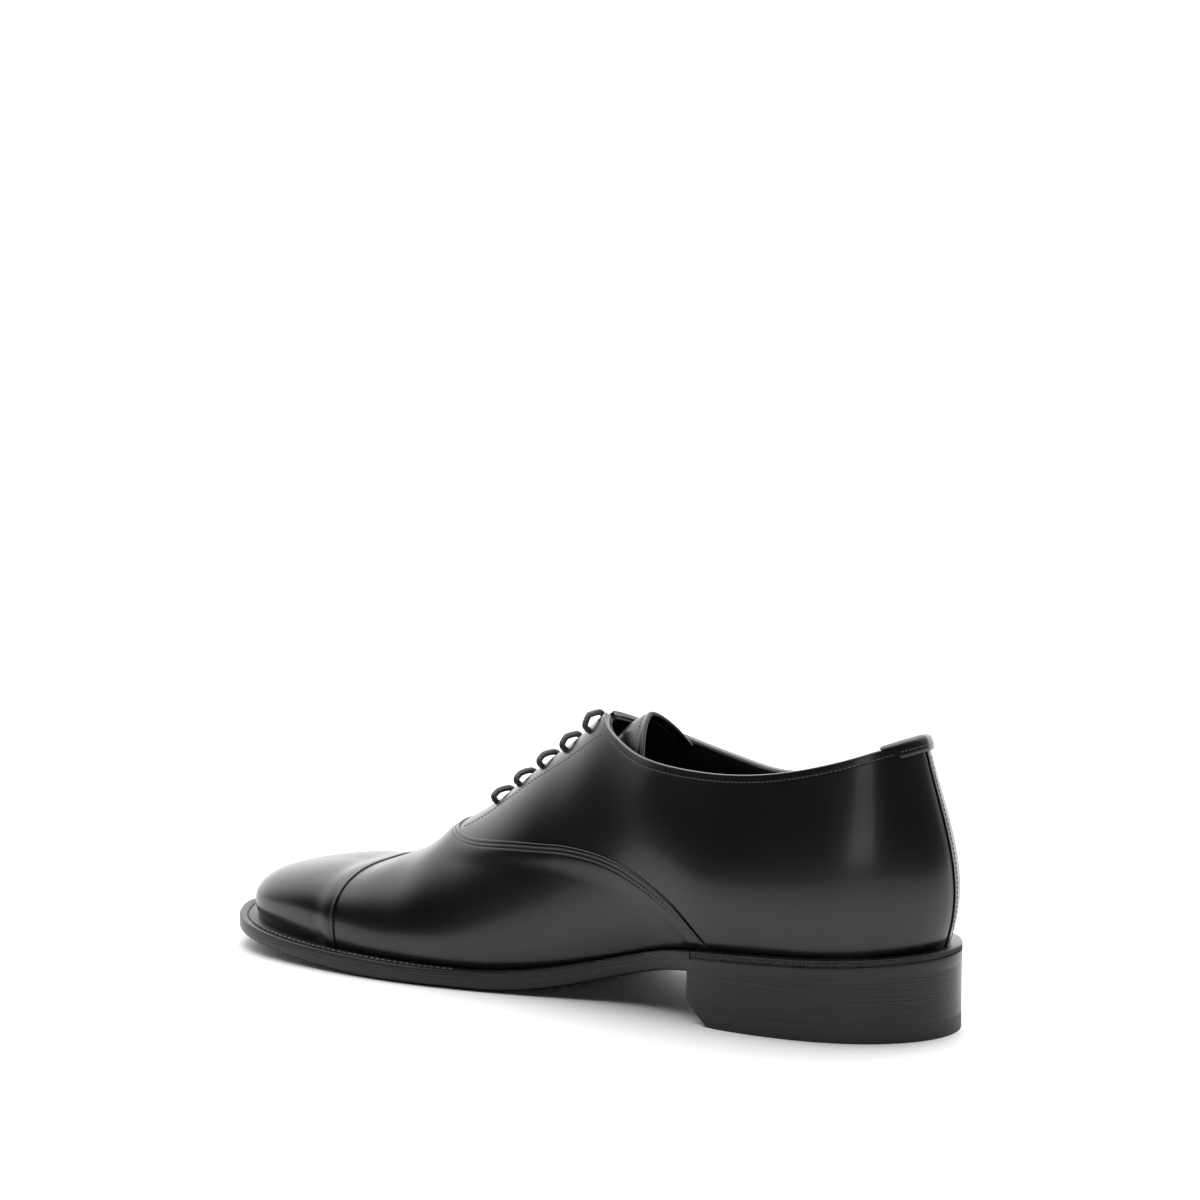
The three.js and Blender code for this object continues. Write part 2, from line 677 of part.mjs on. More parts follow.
// Eyelets, their bores and the lace that runs through them
const EYELET_X = range(EYELET_ROWS).map((i) => lerp(187.8, 147, i / (EYELET_ROWS - 1)));
const EYELET_Y = 6.6;
const BORE = 1.85;
function eyelet(side, row) {
  const theta = side * thetaOf(EYELET_X[row]);
  const v = vAtWidth(theta, EYELET_Y);
  return { theta, v, point: skin(theta, v), normal: skinNormal(theta, v) };
}
const bores = (side) =>
  range(EYELET_ROWS).map((row) => {
    const { point, normal } = eyelet(side, row);
    return round(BORE, 0, 14, 12, point.clone().addScaledVector(normal, -2), normal);
  });

// Grid of a quarter in columns from the back seam to the throat. Its front edge may run on under the vamp.
const QUARTER_ROWS = [0.18, 0.37, 0.56, 0.74, 0.88, 1];
const REAR_COLUMNS = 9;
function quarterGrid(side, tucked) {
  const start = 0.006;
  const rear = range(REAR_COLUMNS).map((i) => {
    const theta = lerp(start, seamStart(side) - 0.012, i / (REAR_COLUMNS - 1));
    const top = topV(side * theta);
    const margin = !tucked && i === REAR_COLUMNS - 1 ? 0 : -1;
    return [margin, 0, 0, 0, ...QUARTER_ROWS.map((t) => t * top)].map((v) => ({ theta: side * theta, v }));
  });
  const front = seamColumns(side).slice(0, tucked ? undefined : -1).map((theta) => {
    const top = Math.min(topV(side * theta), 0.995);
    const seam = clamp(seamV(side, side * theta), 0, top);
    const scale = wallScale(side * theta, Math.max(seam, 0.1));
    const clear = Math.min(seam + 1.6 / scale, top);
    const hidden = tucked ? Math.max(seam - OVERLAP / scale, 0.75 * seam) : clear;
    const low = seam < 0.05 ? seam : hidden;
    const upper = QUARTER_ROWS.map((share) => lerp(clear, top, share));
    const rows = [low, low, tucked ? Math.max(low, seam) : low, clear, ...upper];
    return rows.map((v, i) => ({ theta: side * theta, v, pared: i < 3 ? pared : 0 }));
  });
  return [...rear, ...front];
}

function buildQuarter(side, name) {
  const quarter = layer(quarterGrid(side, true), (spot) => spot.pared ?? 0, flat(LEATHER));
  add(`quarter_${name}`, subtract(quarter, bores(side)), calf);
  const grid = quarterGrid(side, false);
  const corner = REAR_COLUMNS + TO_CORNER.length;

  // the lining comes up against the quarter along the topline, where nothing stiffens it
  const rise = ({ theta, v }) => {
    const x = xOf(Math.abs(theta));
    return (STIFFENER + GAP) * ease((v - 0.6) / 0.12) * (1 - ease((x - 112) / 20));
  };
  const lining = layer(grid, (spot) => LINING_TOP - rise(spot), (spot) => LINING_BOTTOM - rise(spot));
  add(`quarter_lining_${name}`, subtract(lining, bores(side)), liningLeather);

  const stayGrid = grid.slice(corner, -1).map((column) => column.slice(-5));
  const stay = layer(stayGrid, flat(PUFF_TOP), flat(PUFF_TOP + STIFFENER));
  add(`facing_stay_${name}`, subtract(stay, bores(side)), board);

  const bead = 0.75;
  const middle = (LEATHER + PUFF_TOP + LINING) / 2;
  const rings = grid.slice(0, corner + 1).map((column) => {
    const { theta, v } = column.at(-1);
    const outwards = skinNormal(theta, v);
    const rising = skin(theta, v).sub(skin(theta, v - 0.02)).normalize();
    const centre = place(theta, v, middle).addScaledVector(rising, GAP + bead);
    return range(8).map((k) => {
      const turn = (Math.PI * k) / 4;
      const raised = centre.clone().addScaledVector(rising, bead * Math.sin(turn));
      return raised.addScaledVector(outwards, bead * Math.cos(turn));
    });
  });
  add(`topline_binding_${name}`, loft(rings), calf);

  for (const row of range(EYELET_ROWS)) {
    const { point, normal } = eyelet(side, row);
    const centre = point.clone().addScaledVector(normal, -(LINING_BOTTOM + 0.9));
    add(`eyelet_${name}_${row + 1}`, round(2.9, BORE, 0.6, 12, centre, normal), brass);
  }
  return grid;
}

function buildRear(medial, lateral) {
  const columns = [...lateral.slice(0, REAR_COLUMNS).reverse(), ...medial.slice(0, REAR_COLUMNS)];
  const counter = columns.map((column) => column.slice(0, 7));
  add("heel_counter", layer(counter, flat(PUFF_TOP), flat(PUFF_TOP + STIFFENER)), board);

  const tab = range(13).map((i) => {
    const s = lerp(-1, 1, i / 12);
    return [0.925, 0.962, 1].map((b) => {
      const theta = s * thetaOf(lerp(9, 16, (b - 0.925) / 0.075)) || 1e-4;
      return { theta, v: b * topV(theta) };
    });
  });
  add("heel_tab", layer(tab, flat(-2 * GAP - 1), flat(-2 * GAP)), calf);
}

// Tongue, hanging free under the facings and joined to the vamp at its front end
const TONGUE_END = 127;
const TONGUE_ROOT = 214;
function buildTongue() {
  const depthAt = spline(
    [118, 132, 146, 176, 196, 206, TONGUE_ROOT],
    [5.4, 6.8, TONGUE_TOP, TONGUE_TOP, 8, 6.6, LINING_BOTTOM + 1.4],
  );
  const halfWidth = (x) => lerp(23, 16, ease((x - TONGUE_END) / 80));
  const rows = range(13).map((i) => lerp(TONGUE_END, TONGUE_ROOT, i / 12));
  const grid = rows.map((x) =>
    range(11).map((j) => {
      const s = lerp(1, -1, j / 10);
      const sweep = 8 * s * s * (1 - ease((x - TONGUE_END) / 40));
      const theta = (s < 0 ? -1 : 1) * thetaOf(x - sweep);
      const hollow = 2.4 * (1 - Math.abs(s)) ** 2 * (1 - ease((x - TONGUE_END) / 30));
      return { theta, v: j === 5 ? 1 : vAtWidth(theta, Math.abs(s) * halfWidth(x)), hollow };
    }),
  );
  const depth = (spot) => depthAt(xOf(Math.abs(spot.theta))) + spot.hollow;
  add("tongue", layer(grid, depth, (spot) => depth(spot) + TONGUE), calf);
}

// Round lace in straight bars. Under the facings it climbs from hole to hole, and its two ends are
// tucked in there.
function buildLace() {
  const under = LINING_BOTTOM + 2.9;
  const below = (side, x, y) => {
    const theta = side * thetaOf(x);
    return place(theta, vAtWidth(theta, y), under);
  };
  const through = (side, row) => {
    const { point, normal } = eyelet(side, row);
    return [-2, 1.5, 4.2, under - 0.4].map((depth) => point.clone().addScaledVector(normal, -depth));
  };
  const arch = (row) => {
    const theta = thetaOf(EYELET_X[row]);
    const crest = skin(theta, 1);
    const normal = skinNormal(theta, 1);
    return range(5).map((i) => {
      const y = lerp(EYELET_Y - 2.4, 2.4 - EYELET_Y, i / 4);
      const height = 2.7 - 0.9 * (y / EYELET_Y) ** 2;
      return new THREE.Vector3(crest.x, y, crest.z).addScaledVector(normal, height);
    });
  };
  const cross = (from, row) => {
    const bridge = from > 0 ? arch(row) : arch(row).reverse();
    return [...through(from, row).reverse(), ...bridge, ...through(-from, row)];
  };
  const climb = (side, from, to, y) => {
    const [a, b] = [EYELET_X[from], EYELET_X[to]];
    const away = 3 * Math.sign(b - a);
    const leaving = lerp(EYELET_Y, y, 0.75);
    return [below(side, a + away, leaving), below(side, (a + b) / 2, y), below(side, b - away, leaving)];
  };
  const [medial, lateral] = [1, -1];
  const outerLane = EYELET_Y + 2.8;
  const innerLane = EYELET_Y - 2.8;
  const route = [
    ...[26, 14, 4].map((x) => below(medial, EYELET_X[3] + x, x > 4 ? 14.4 : 11.6)),
    ...cross(medial, 3),
    ...climb(lateral, 3, 1, outerLane),
    ...cross(lateral, 1),
    ...climb(medial, 1, 0, EYELET_Y),
    ...cross(medial, 0),
    ...climb(lateral, 0, 2, innerLane),
    ...cross(lateral, 2),
    ...climb(medial, 2, 4, innerLane),
    ...cross(medial, 4),
    ...[4, 14, 26].map((x) => below(lateral, EYELET_X[4] + x, x > 4 ? 14.8 : 11.6)),
  ];
  add("lace", tube(route, LACE / 2, 150, 8), cotton);
}

buildSole();
buildHeel();
buildForepart();
const medialGrid = buildQuarter(1, "medial");
const lateralGrid = buildQuarter(-1, "lateral");
buildRear(medialGrid, lateralGrid);
buildTongue();
buildLace();

// Move the origin to the bottom centre of the whole
const box = new THREE.Box3();
parts.children.forEach((mesh) => box.union(new THREE.Box3().setFromObject(mesh)));
const centre = box.getCenter(new THREE.Vector3());
parts.children.forEach((mesh) => mesh.geometry.translate(-centre.x, -centre.y, -box.min.z));

export default parts;
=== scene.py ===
"""A right-foot cap-toe oxford shoe in polished black calf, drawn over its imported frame.

Shapes are worked out in millimetres in the last's own frame: the back of the heel at x = 0, the toe
along +X and the inner (medial) side of the foot along +Y. to_frame() moves them into the row frame, in
metres. The upper is one smooth surface, place(theta, v, depth): theta runs from the heel (0) to the tip
of the toe (pi) on the medial side and is negative on the lateral side, v runs from the crease above the
welt (0) to the ridge of the instep (1), and depth is measured inwards from the leather's outer face.
"""

import math

import bmesh
import bpy
import numpy as np
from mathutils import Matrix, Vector


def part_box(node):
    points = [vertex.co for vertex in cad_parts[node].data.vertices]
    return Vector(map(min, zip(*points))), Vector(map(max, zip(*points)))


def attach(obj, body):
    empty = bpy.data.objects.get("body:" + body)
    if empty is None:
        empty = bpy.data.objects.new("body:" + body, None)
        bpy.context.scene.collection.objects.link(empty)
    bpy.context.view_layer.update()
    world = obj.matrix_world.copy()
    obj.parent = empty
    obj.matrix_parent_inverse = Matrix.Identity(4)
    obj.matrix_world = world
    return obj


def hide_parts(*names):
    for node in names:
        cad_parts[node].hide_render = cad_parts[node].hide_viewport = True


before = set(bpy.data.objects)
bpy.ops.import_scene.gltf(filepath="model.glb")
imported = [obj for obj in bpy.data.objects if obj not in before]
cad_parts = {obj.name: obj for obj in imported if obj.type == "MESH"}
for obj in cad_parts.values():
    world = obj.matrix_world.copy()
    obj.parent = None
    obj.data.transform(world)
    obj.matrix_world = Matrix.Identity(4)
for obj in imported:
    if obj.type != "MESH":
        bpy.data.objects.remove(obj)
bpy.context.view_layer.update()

# Driving dimensions, in millimetres
SOLE_LENGTH = 306
WELT = 2.6
GAP = 0.3
LEATHER = 1.4
LINING_TOP = 2.9
LINING_BOTTOM = 3.9
TONGUE = 1.5
LASTING_MARGIN = 9
HEEL_LIFTS = 4
TOP_PIECE = 6
HEEL_BREAST = 86
NOTCH = 9
CAP_SEAM_X = 242
THROAT_X = 204.5
EYELET_ROWS = 5
LACE = 2.4
SETTLE = 0.3  # how far the crease of the upper sinks onto the welt
TOPLINE_END = 152  # where the topline's curve ends, beyond the facing's corner
TOPLINE_START = 8
FIRST_NAIL = Vector((14, 0, 0))  # place of the heel's rear nail in the last's frame

nail_low, nail_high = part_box("heel_nail_1")
nail_middle = (nail_low + nail_high) * 500
SHIFT = np.array([nail_middle.x - FIRST_NAIL.x, nail_middle.y - FIRST_NAIL.y, 0])


def to_frame(points):
    return (np.asarray(points, float) + SHIFT) / 1000


def ease(t):
    s = np.clip(t, 0, 1)
    return s * s * (3 - 2 * s)


def unit(vectors):
    return vectors / np.maximum(np.linalg.norm(vectors, axis=-1, keepdims=True), 1e-12)


def spline(keys, values, flat=False):
    """Cubic spline. Flat ends have no slope, the others no curvature."""
    keys, values = np.array(keys, float), np.array(values, float)
    h = np.diff(keys)
    slope = np.diff(values) / h
    n = len(keys)
    system, rhs = np.eye(n), np.zeros(n)
    for i in range(1, n - 1):
        system[i, i - 1 : i + 2] = h[i - 1], 2 * (h[i - 1] + h[i]), h[i]
        rhs[i] = 6 * (slope[i] - slope[i - 1])
    if flat:
        system[0, :2] = 2, 1
        system[-1, -2:] = 1, 2
        rhs[0], rhs[-1] = 6 * slope[0] / h[0], -6 * slope[-1] / h[-1]
    bend = np.linalg.solve(system, rhs)

    def curve(x):
        i = np.clip(np.searchsorted(keys, x) - 1, 0, n - 2)
        b = (x - keys[i]) / h[i]
        a = 1 - b
        cubic = ((a**3 - a) * bend[i] + (b**3 - b) * bend[i + 1]) * h[i] ** 2 / 6
        return a * values[i] + b * values[i + 1] + cubic

    return curve


def theta_of(x):
    return np.arccos(np.clip(1 - 2 * np.asarray(x, float) / SOLE_LENGTH, -1, 1))


def x_of(theta):
    return SOLE_LENGTH * (1 - np.cos(theta)) / 2


def along(stations, odd=False):
    """A quantity that varies along the shoe, given at stations (x, medial value, lateral value)."""
    keys = [theta_of(s[0]) for s in stations]
    medial = spline(keys, [s[1] for s in stations], not odd)
    lateral = spline(keys, [s[-1] for s in stations], not odd)
    return lambda theta: np.where(theta >= 0, medial(np.abs(theta)), lateral(np.abs(theta)))


# The last: edge of the sole in plan, levels of the sole, and the quantities that shape the walls
sole_half_width = along(
    [(0, 0, 0), (10, 22, 21), (30, 34.5, 32.5), (60, 40, 35.5), (85, 37.5, 35), (110, 29, 36.5),
     (140, 31.5, 42), (170, 38.5, 49.5), (200, 43.5, 56), (225, 44.5, 58), (250, 42.5, 54),
     (270, 38.8, 46), (285, 33.6, 36), (297, 24.5, 24), (303, 14.5, 12.5), (306, 3, -3)],
    odd=True,
)
deck_curve = spline(
    [0, 40, 75, 95, 120, 150, 180, 205, 225, 255, 285, 306],
    [28.1, 25.8, 24.2, 21.8, 15.5, 8.1, 4.4, 4.1, 4.5, 5.4, 7.6, 10.1],
)
outsole_curve = spline(
    [0, 75, 100, 130, 150, 170, 190, 205, 225, 255, 285, 306],
    [3.9, 4, 4.8, 5.1, 5.4, 5, 4.4, 4.1, 4.1, 3.2, 2.8, 2.9],
)
welt_width = along(
    [(0, 4.2), (60, 4.6, 4.2), (95, 3, 3.4), (120, 1.8, 3.6), (150, 3.2, 4.6), (185, 5.2, 5.6),
     (240, 6.4), (268, 8, 7.6), (290, 8.2, 7.8), (306, 6.6)]
)
ridge_x = along(
    [(0, 15), (10, 20), (30, 36), (60, 62), (95, 95), (120, 120), (150, 150), (200, 200), (250, 250),
     (270, 269.5), (287, 286), (297, 294.6), (303, 298.4), (306, 299.4)]
)
ridge_y = along(
    [(0, 0), (10, 12, -12), (30, 20, -20), (60, 22, -22), (95, 16, -19), (113, 8, -10), (130, 0),
     (160, 0), (200, 0), (240, 0.5), (280, 2.2), (306, 3)]
)
ridge_height = along(
    [(0, 80), (30, 82), (60, 84), (95, 88), (120, 94), (141, 91.4), (152, 83.4), (165, 75),
     (180, 64.5), (195, 54), (207, 46.5), (218, 38), (230, 32), (243, 27), (260, 25.2), (275, 22.6),
     (287, 18.8), (297, 13), (303, 7), (306, 0)],
    odd=True,
)
flare = along(
    [(0, 20), (60, 16, 14), (110, 34, 12), (150, 24, 14), (200, 16, 18), (250, 15, 16),
     (280, 22, 20), (306, 22)]
)
wall_reach = along(
    [(0, 0.36), (60, 0.36), (110, 0.3), (150, 0.3), (200, 0.42), (243, 0.72, 0.66),
     (280, 0.66, 0.62), (306, 0.58)]
)
arrival = along(
    [(0, 80), (60, 80), (95, 62), (115, 34), (135, 8), (160, 3), (205, 2), (225, 0), (306, 0)]
)
top_reach = along(
    [(0, 30), (60, 30), (95, 27, 29), (120, 20, 24), (140, 20, 21), (170, 21, 21), (200, 20, 23),
     (225, 24, 30), (243, 29, 36), (270, 26, 31), (290, 18, 20), (301, 10), (306, 0)],
    odd=True,
)


def deck(x):
    return deck_curve(np.clip(x, 0, SOLE_LENGTH))


def underside(x):
    return np.maximum(0, deck(x) - outsole_curve(np.clip(x, 0, SOLE_LENGTH)))


def over(height):
    return lambda x: deck(x) + height


WELT_BASE = 0.04  # the welt lies on the outsole with a hair's gap
WELT_TOP = GAP + WELT
CREASE = WELT_TOP + GAP
THROAT = theta_of(THROAT_X)


def side_of(theta):
    return np.where(theta >= 0, 1.0, -1.0)


def sole_edge(theta):
    return np.stack([x_of(theta), side_of(theta) * sole_half_width(theta)], -1)


def outward(theta):
    side = side_of(theta)
    t = np.clip(np.abs(theta), 1e-3, math.pi - 1e-3)
    tangent = sole_edge(side * (t + 1e-3)) - sole_edge(side * (t - 1e-3))
    return unit(np.stack([-tangent[..., 1], tangent[..., 0]], -1)) * side[..., None]


def profile(theta):
    """The four control points of the wall's section at a station."""
    side, normal = side_of(theta), outward(theta)
    zero = np.zeros_like(theta)
    plan = sole_edge(theta) - normal * welt_width(theta)[..., None]
    foot = np.concatenate([plan, (deck(plan[..., 0]) + CREASE)[..., None]], -1)
    height = ridge_height(theta)
    top = np.stack([ridge_x(theta), ridge_y(theta), foot[..., 2] + height], -1)
    out = np.concatenate([normal, zero[..., None]], -1)
    up = np.array([0, 0, 1.0])
    lean, reach = np.radians(flare(theta)), wall_reach(theta) * height
    low_point = foot + out * (reach * np.sin(lean))[..., None] + up * (reach * np.cos(lean))[..., None]
    turn, far = np.radians(arrival(theta)), top_reach(theta)
    share = np.sin(turn)[..., None] ** 2
    across = unit(np.stack([zero, side, zero], -1) * (1 - share) + out * share)
    high_point = top + across * (far * np.cos(turn))[..., None] - up * (far * np.sin(turn))[..., None]
    return foot, low_point, high_point, top


def skin(theta, v):
    """Outer face of the upper."""
    theta, v = np.broadcast_arrays(np.asarray(theta, float), np.asarray(v, float))
    a, b, c, d = profile(theta)
    t = v[..., None]
    s = 1 - t
    return a * s**3 + b * 3 * s * s * t + c * 3 * s * t * t + d * t**3


def skin_normal(theta, v):
    theta, v = np.broadcast_arrays(np.asarray(theta, float), np.asarray(v, float))
    side = side_of(theta)
    t, w = np.clip(np.abs(theta), 0.002, math.pi - 0.02), np.clip(v, 0, 0.985)
    du = skin(side * (t + 0.002), w) - skin(side * (t - 0.002), w)
    dv = skin(side * t, w + 0.01) - skin(side * t, w)
    normal = unit(np.cross(du, dv)) * -side[..., None]
    crest = ((v > 0.985) & (np.abs(theta) > theta_of(118)))[..., None]
    return unit(np.where(crest, normal * [1, 0.2, 1], normal))


def place(theta, v, depth):
    """A point of the upper below its outer face. Near the crease the layers turn in under the foot."""
    theta, v, depth = np.broadcast_arrays(*[np.asarray(q, float) for q in (theta, v, depth)])
    foot = profile(theta)[0]
    normal = outward(theta)
    wall = skin(theta, v)
    inwards = np.maximum(depth, 1e-6)
    fade = np.exp(np.clip((foot[..., 2] - wall[..., 2]) / inwards, -60, 0))
    rise = np.where(depth > 0, depth * fade, 0)
    wall = wall - skin_normal(theta, v) * depth[..., None]
    wall[..., 2] += rise
    plan = foot[..., :2] + normal * (np.minimum(v, 0) * LASTING_MARGIN - depth)[..., None]
    level = deck(plan[..., 0]) + CREASE + np.maximum(depth, 0)
    folded_in = np.concatenate([plan, level[..., None]], -1)
    point = np.where((v > 0)[..., None], wall, folded_in)
    point[..., 2] -= SETTLE * np.exp(-np.maximum(point[..., 2] - foot[..., 2], 0) / 2)
    return point


def bisect(measure, low, high):
    """Where a measure reaches zero in a span, or the high end of the span if it doesn't."""
    a, b = np.array(low, float), np.array(high, float)
    sign = np.sign(measure(b))
    none = np.sign(measure(a)) == sign
    end = b.copy()
    for _ in range(26):
        middle = (a + b) / 2
        same = np.sign(measure(middle)) == sign
        a, b = np.where(same, a, middle), np.where(same, middle, b)
    return np.where(none, end, (a + b) / 2)


def v_at_width(theta, y):
    theta, y = np.broadcast_arrays(np.asarray(theta, float), np.asarray(y, float))
    low, high = np.full(theta.shape, 0.4), np.ones(theta.shape)
    return bisect(lambda v: y - np.abs(skin(theta, v)[..., 1]), low, high)


# Outlines of the pieces of the upper
MEDIAL, LATERAL = 1, -1
NAMES = {MEDIAL: "medial", LATERAL: "lateral"}
TOPLINE_X = [
    TOPLINE_START, 13.6, 22.4, 31.5, 41.6, 56, 71, 88, 101, 111.5, 120.4, 130, 138, 143.5, TOPLINE_END
]
TOPLINE = {
    MEDIAL: spline(
        TOPLINE_X,
        [105.4, 104, 101.2, 98.1, 95.1, 91.8, 89.8, 89.2, 89.7, 90.7, 92.2, 95.6, 99.6, 103.4, 109.4],
    ),
    LATERAL: spline(
        TOPLINE_X,
        [105.4, 103.8, 99.8, 95.6, 91.2, 86.2, 82.6, 81.6, 84.4, 87.8, 91.6, 96, 99.6, 103, 108],
    ),
}
SEAM_V = [0, 0.06, 0.168, 0.281, 0.348, 0.387, 0.44, 0.5, 0.568, 0.686, 0.765, 0.83, 0.92, 1]
SEAM_X = {
    MEDIAL: spline(
        SEAM_V,
        [79.5, 83, 89.6, 102.5, 119.5, 134.5, 148.2, 161.9, 176.3, 193.2, 199, 202.3, 204, THROAT_X],
    ),
    LATERAL: spline(
        SEAM_V,
        [82, 85.5, 92, 105, 121.5, 136.5, 150, 163.5, 177.5, 193.6, 199.2, 202.3, 204, THROAT_X],
    ),
}


def topline_height(side, x):
    return TOPLINE[side](np.clip(x, TOPLINE_START, TOPLINE_END))


def facing_gap(x):
    """Half the width of the lacing gap."""
    return 2.5 - 1.6 * np.clip((x - 142) / 62, 0, 1)


def top_v(side, theta):
    """Height on the wall of the quarter's top edge."""
    x = x_of(theta)
    at_facing = np.where(x > 118, v_at_width(side * theta, facing_gap(x)), 1)

    def above(v):
        point = skin(side * theta, v)
        return point[..., 2] - topline_height(side, point[..., 0])

    return np.minimum(at_facing, bisect(above, np.full(theta.shape, 0.3), np.ones(theta.shape)))


def corner_theta(side):
    """Station of the top corner of a facing."""

    def over_edge(theta):
        point = skin(side * theta, v_at_width(side * theta, facing_gap(x_of(theta))))
        return topline_height(side, point[..., 0]) - point[..., 2]

    return float(bisect(over_edge, theta_of(126), theta_of(150)))


def resample(side, theta, v, count):
    """The same line on the skin, in even steps."""
    points = skin(side * theta, v)
    length = np.concatenate([[0], np.cumsum(np.linalg.norm(np.diff(points, axis=0), axis=1))])
    at = np.linspace(0, length[-1], count)
    return np.stack([np.interp(at, length, theta), np.interp(at, length, v)], -1)


def chain(*lines):
    return np.concatenate([lines[0], *[line[1:] for line in lines[1:]]])


def seam_line(side, count):
    v = np.linspace(0, 1, 400)
    return resample(side, theta_of(SEAM_X[side](v)), v, count)


def crease_line(side, start, end, count):
    theta = np.linspace(start, end, 200)
    return resample(side, theta, np.zeros(200), count)


def top_line(side, start, end, count):
    theta = np.linspace(start, end, 240)
    return resample(side, theta, top_v(side, theta), count)


def across_line(side, x, count):
    """From the crease up to the ridge at one station."""
    v = np.linspace(0, 1, 200)
    return resample(side, np.full(200, theta_of(x)), v, count)


def ruled(side, edge, far, near_edge, near_far, middle):
    """Spots of a patch between two lines. near_edge and near_far are the rows' distances from them."""
    s = np.linspace(0, 1, 41)
    spots = edge[:, None] * (1 - s)[:, None] + far[:, None] * s[:, None]
    signs = np.broadcast_to(np.asarray(side, float), (len(edge),))[:, None]
    points = skin(signs * spots[..., 0], spots[..., 1])
    steps = np.linalg.norm(np.diff(points, axis=1), axis=2)
    arc = np.concatenate([np.zeros((len(edge), 1)), np.cumsum(steps, 1)], 1)
    length = arc[:, -1:]

    def slant(line, towards):
        run = unit(np.gradient(line, axis=0))
        lean = np.clip(np.linalg.norm(np.cross(run, unit(towards)), axis=1), 0.6, 1)
        window = np.full(17, 1 / 17)
        return np.convolve(np.pad(lean, 8, mode="edge"), window, "valid")[:, None]

    lean_edge = slant(points[:, 0], points[:, 2] - points[:, 0])
    lean_far = np.ones((len(edge), 1))
    if near_far[-1]:
        lean_far = slant(points[:, -1], points[:, -3] - points[:, -1])
    first = np.array(near_edge) / lean_edge
    last = np.array(near_far) / lean_far
    room = np.minimum(1, 0.8 * length / np.maximum(first[:, -1:] + last[:, -1:], 1e-6))
    first, last = first * room, length - last[:, ::-1] * room
    inner = first[:, -1:] + (last[:, :1] - first[:, -1:]) * np.linspace(0, 1, middle + 2)[1:-1]
    at = np.concatenate([first, inner, last], 1)
    share = np.stack([np.interp(a, line, s) for a, line in zip(at, arc)])
    share = np.where(at < 0, at / np.maximum(arc[:, 1:2], 1e-6) * s[1], share)[..., None]
    where = edge[:, None] * (1 - share) + far[:, None] * share
    return {
        "theta": signs * where[..., 0],
        "v": where[..., 1],
        "from_edge": at * lean_edge,
        "from_far": (length - at) * lean_far,
        "x": x_of(where[..., 0]),
    }


# Meshes
def link(name, data):
    made = bpy.data.objects.new(name, data)
    bpy.context.scene.collection.objects.link(made)
    return made


def grid_faces(rows, columns, loop=False):
    index = np.arange(rows * columns).reshape(rows, columns)
    if loop:
        index = np.concatenate([index, index[:, :1]], 1)
    return np.stack([index[:-1, :-1], index[1:, :-1], index[1:, 1:], index[:-1, 1:]], -1).reshape(-1, 4)


def closed_sheet(outer, inner):
    """Closed leather layer between two grids of points."""
    rows, columns = outer.shape[:2]
    count = rows * columns
    index = np.arange(count).reshape(rows, columns)
    faces = grid_faces(rows, columns)
    border = np.concatenate([index[0], index[1:, -1], index[-1, -2::-1], index[-2::-1, 0]])
    rim = np.stack([border[1:], border[:-1], border[:-1] + count, border[1:] + count], -1)
    points = np.concatenate([outer.reshape(-1, 3), inner.reshape(-1, 3)])
    return points, np.concatenate([faces, faces[:, ::-1] + count, rim])


def loft(rings):
    """Closed solid through rings that have the same number of corners."""
    rings = np.asarray(rings, float)
    count, corners = rings.shape[:2]
    faces = [list(f) for f in grid_faces(count, corners, loop=True)]
    faces.append(list(range(corners))[::-1])
    faces.append([(count - 1) * corners + k for k in range(corners)])
    return rings.reshape(-1, 3), faces


def piece(name, shape, material, body="shoe", stands_for=(), sharp=40, cut=None):
    """A mesh in the row frame that rides on a body, trimmed by a plane where cut gives one."""
    points, faces = shape
    mesh = bpy.data.meshes.new(name)
    mesh.from_pydata(to_frame(points).tolist(), [], [[int(k) for k in f] for f in faces])
    shape_bm = bmesh.new()
    shape_bm.from_mesh(mesh)
    bmesh.ops.remove_doubles(shape_bm, verts=shape_bm.verts, dist=2e-6)
    bmesh.ops.dissolve_degenerate(shape_bm, edges=shape_bm.edges, dist=1e-7)
    if cut:
        everything = shape_bm.verts[:] + shape_bm.edges[:] + shape_bm.faces[:]
        point, normal = to_frame(cut[0]), cut[1]
        made = bmesh.ops.bisect_plane(
            shape_bm, geom=everything, plane_co=point, plane_no=normal, clear_outer=True
        )
        rim = [part for part in made["geom_cut"] if isinstance(part, bmesh.types.BMEdge)]
        bmesh.ops.edgeloop_fill(shape_bm, edges=rim)
    bmesh.ops.recalc_face_normals(shape_bm, faces=shape_bm.faces)
    shape_bm.to_mesh(mesh)
    shape_bm.free()
    mesh.shade_smooth()
    mesh.set_sharp_from_angle(angle=math.radians(sharp))
    mesh.materials.append(material)
    shown = link(name, mesh)
    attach(shown, body)
    if stands_for:
        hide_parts(*stands_for)


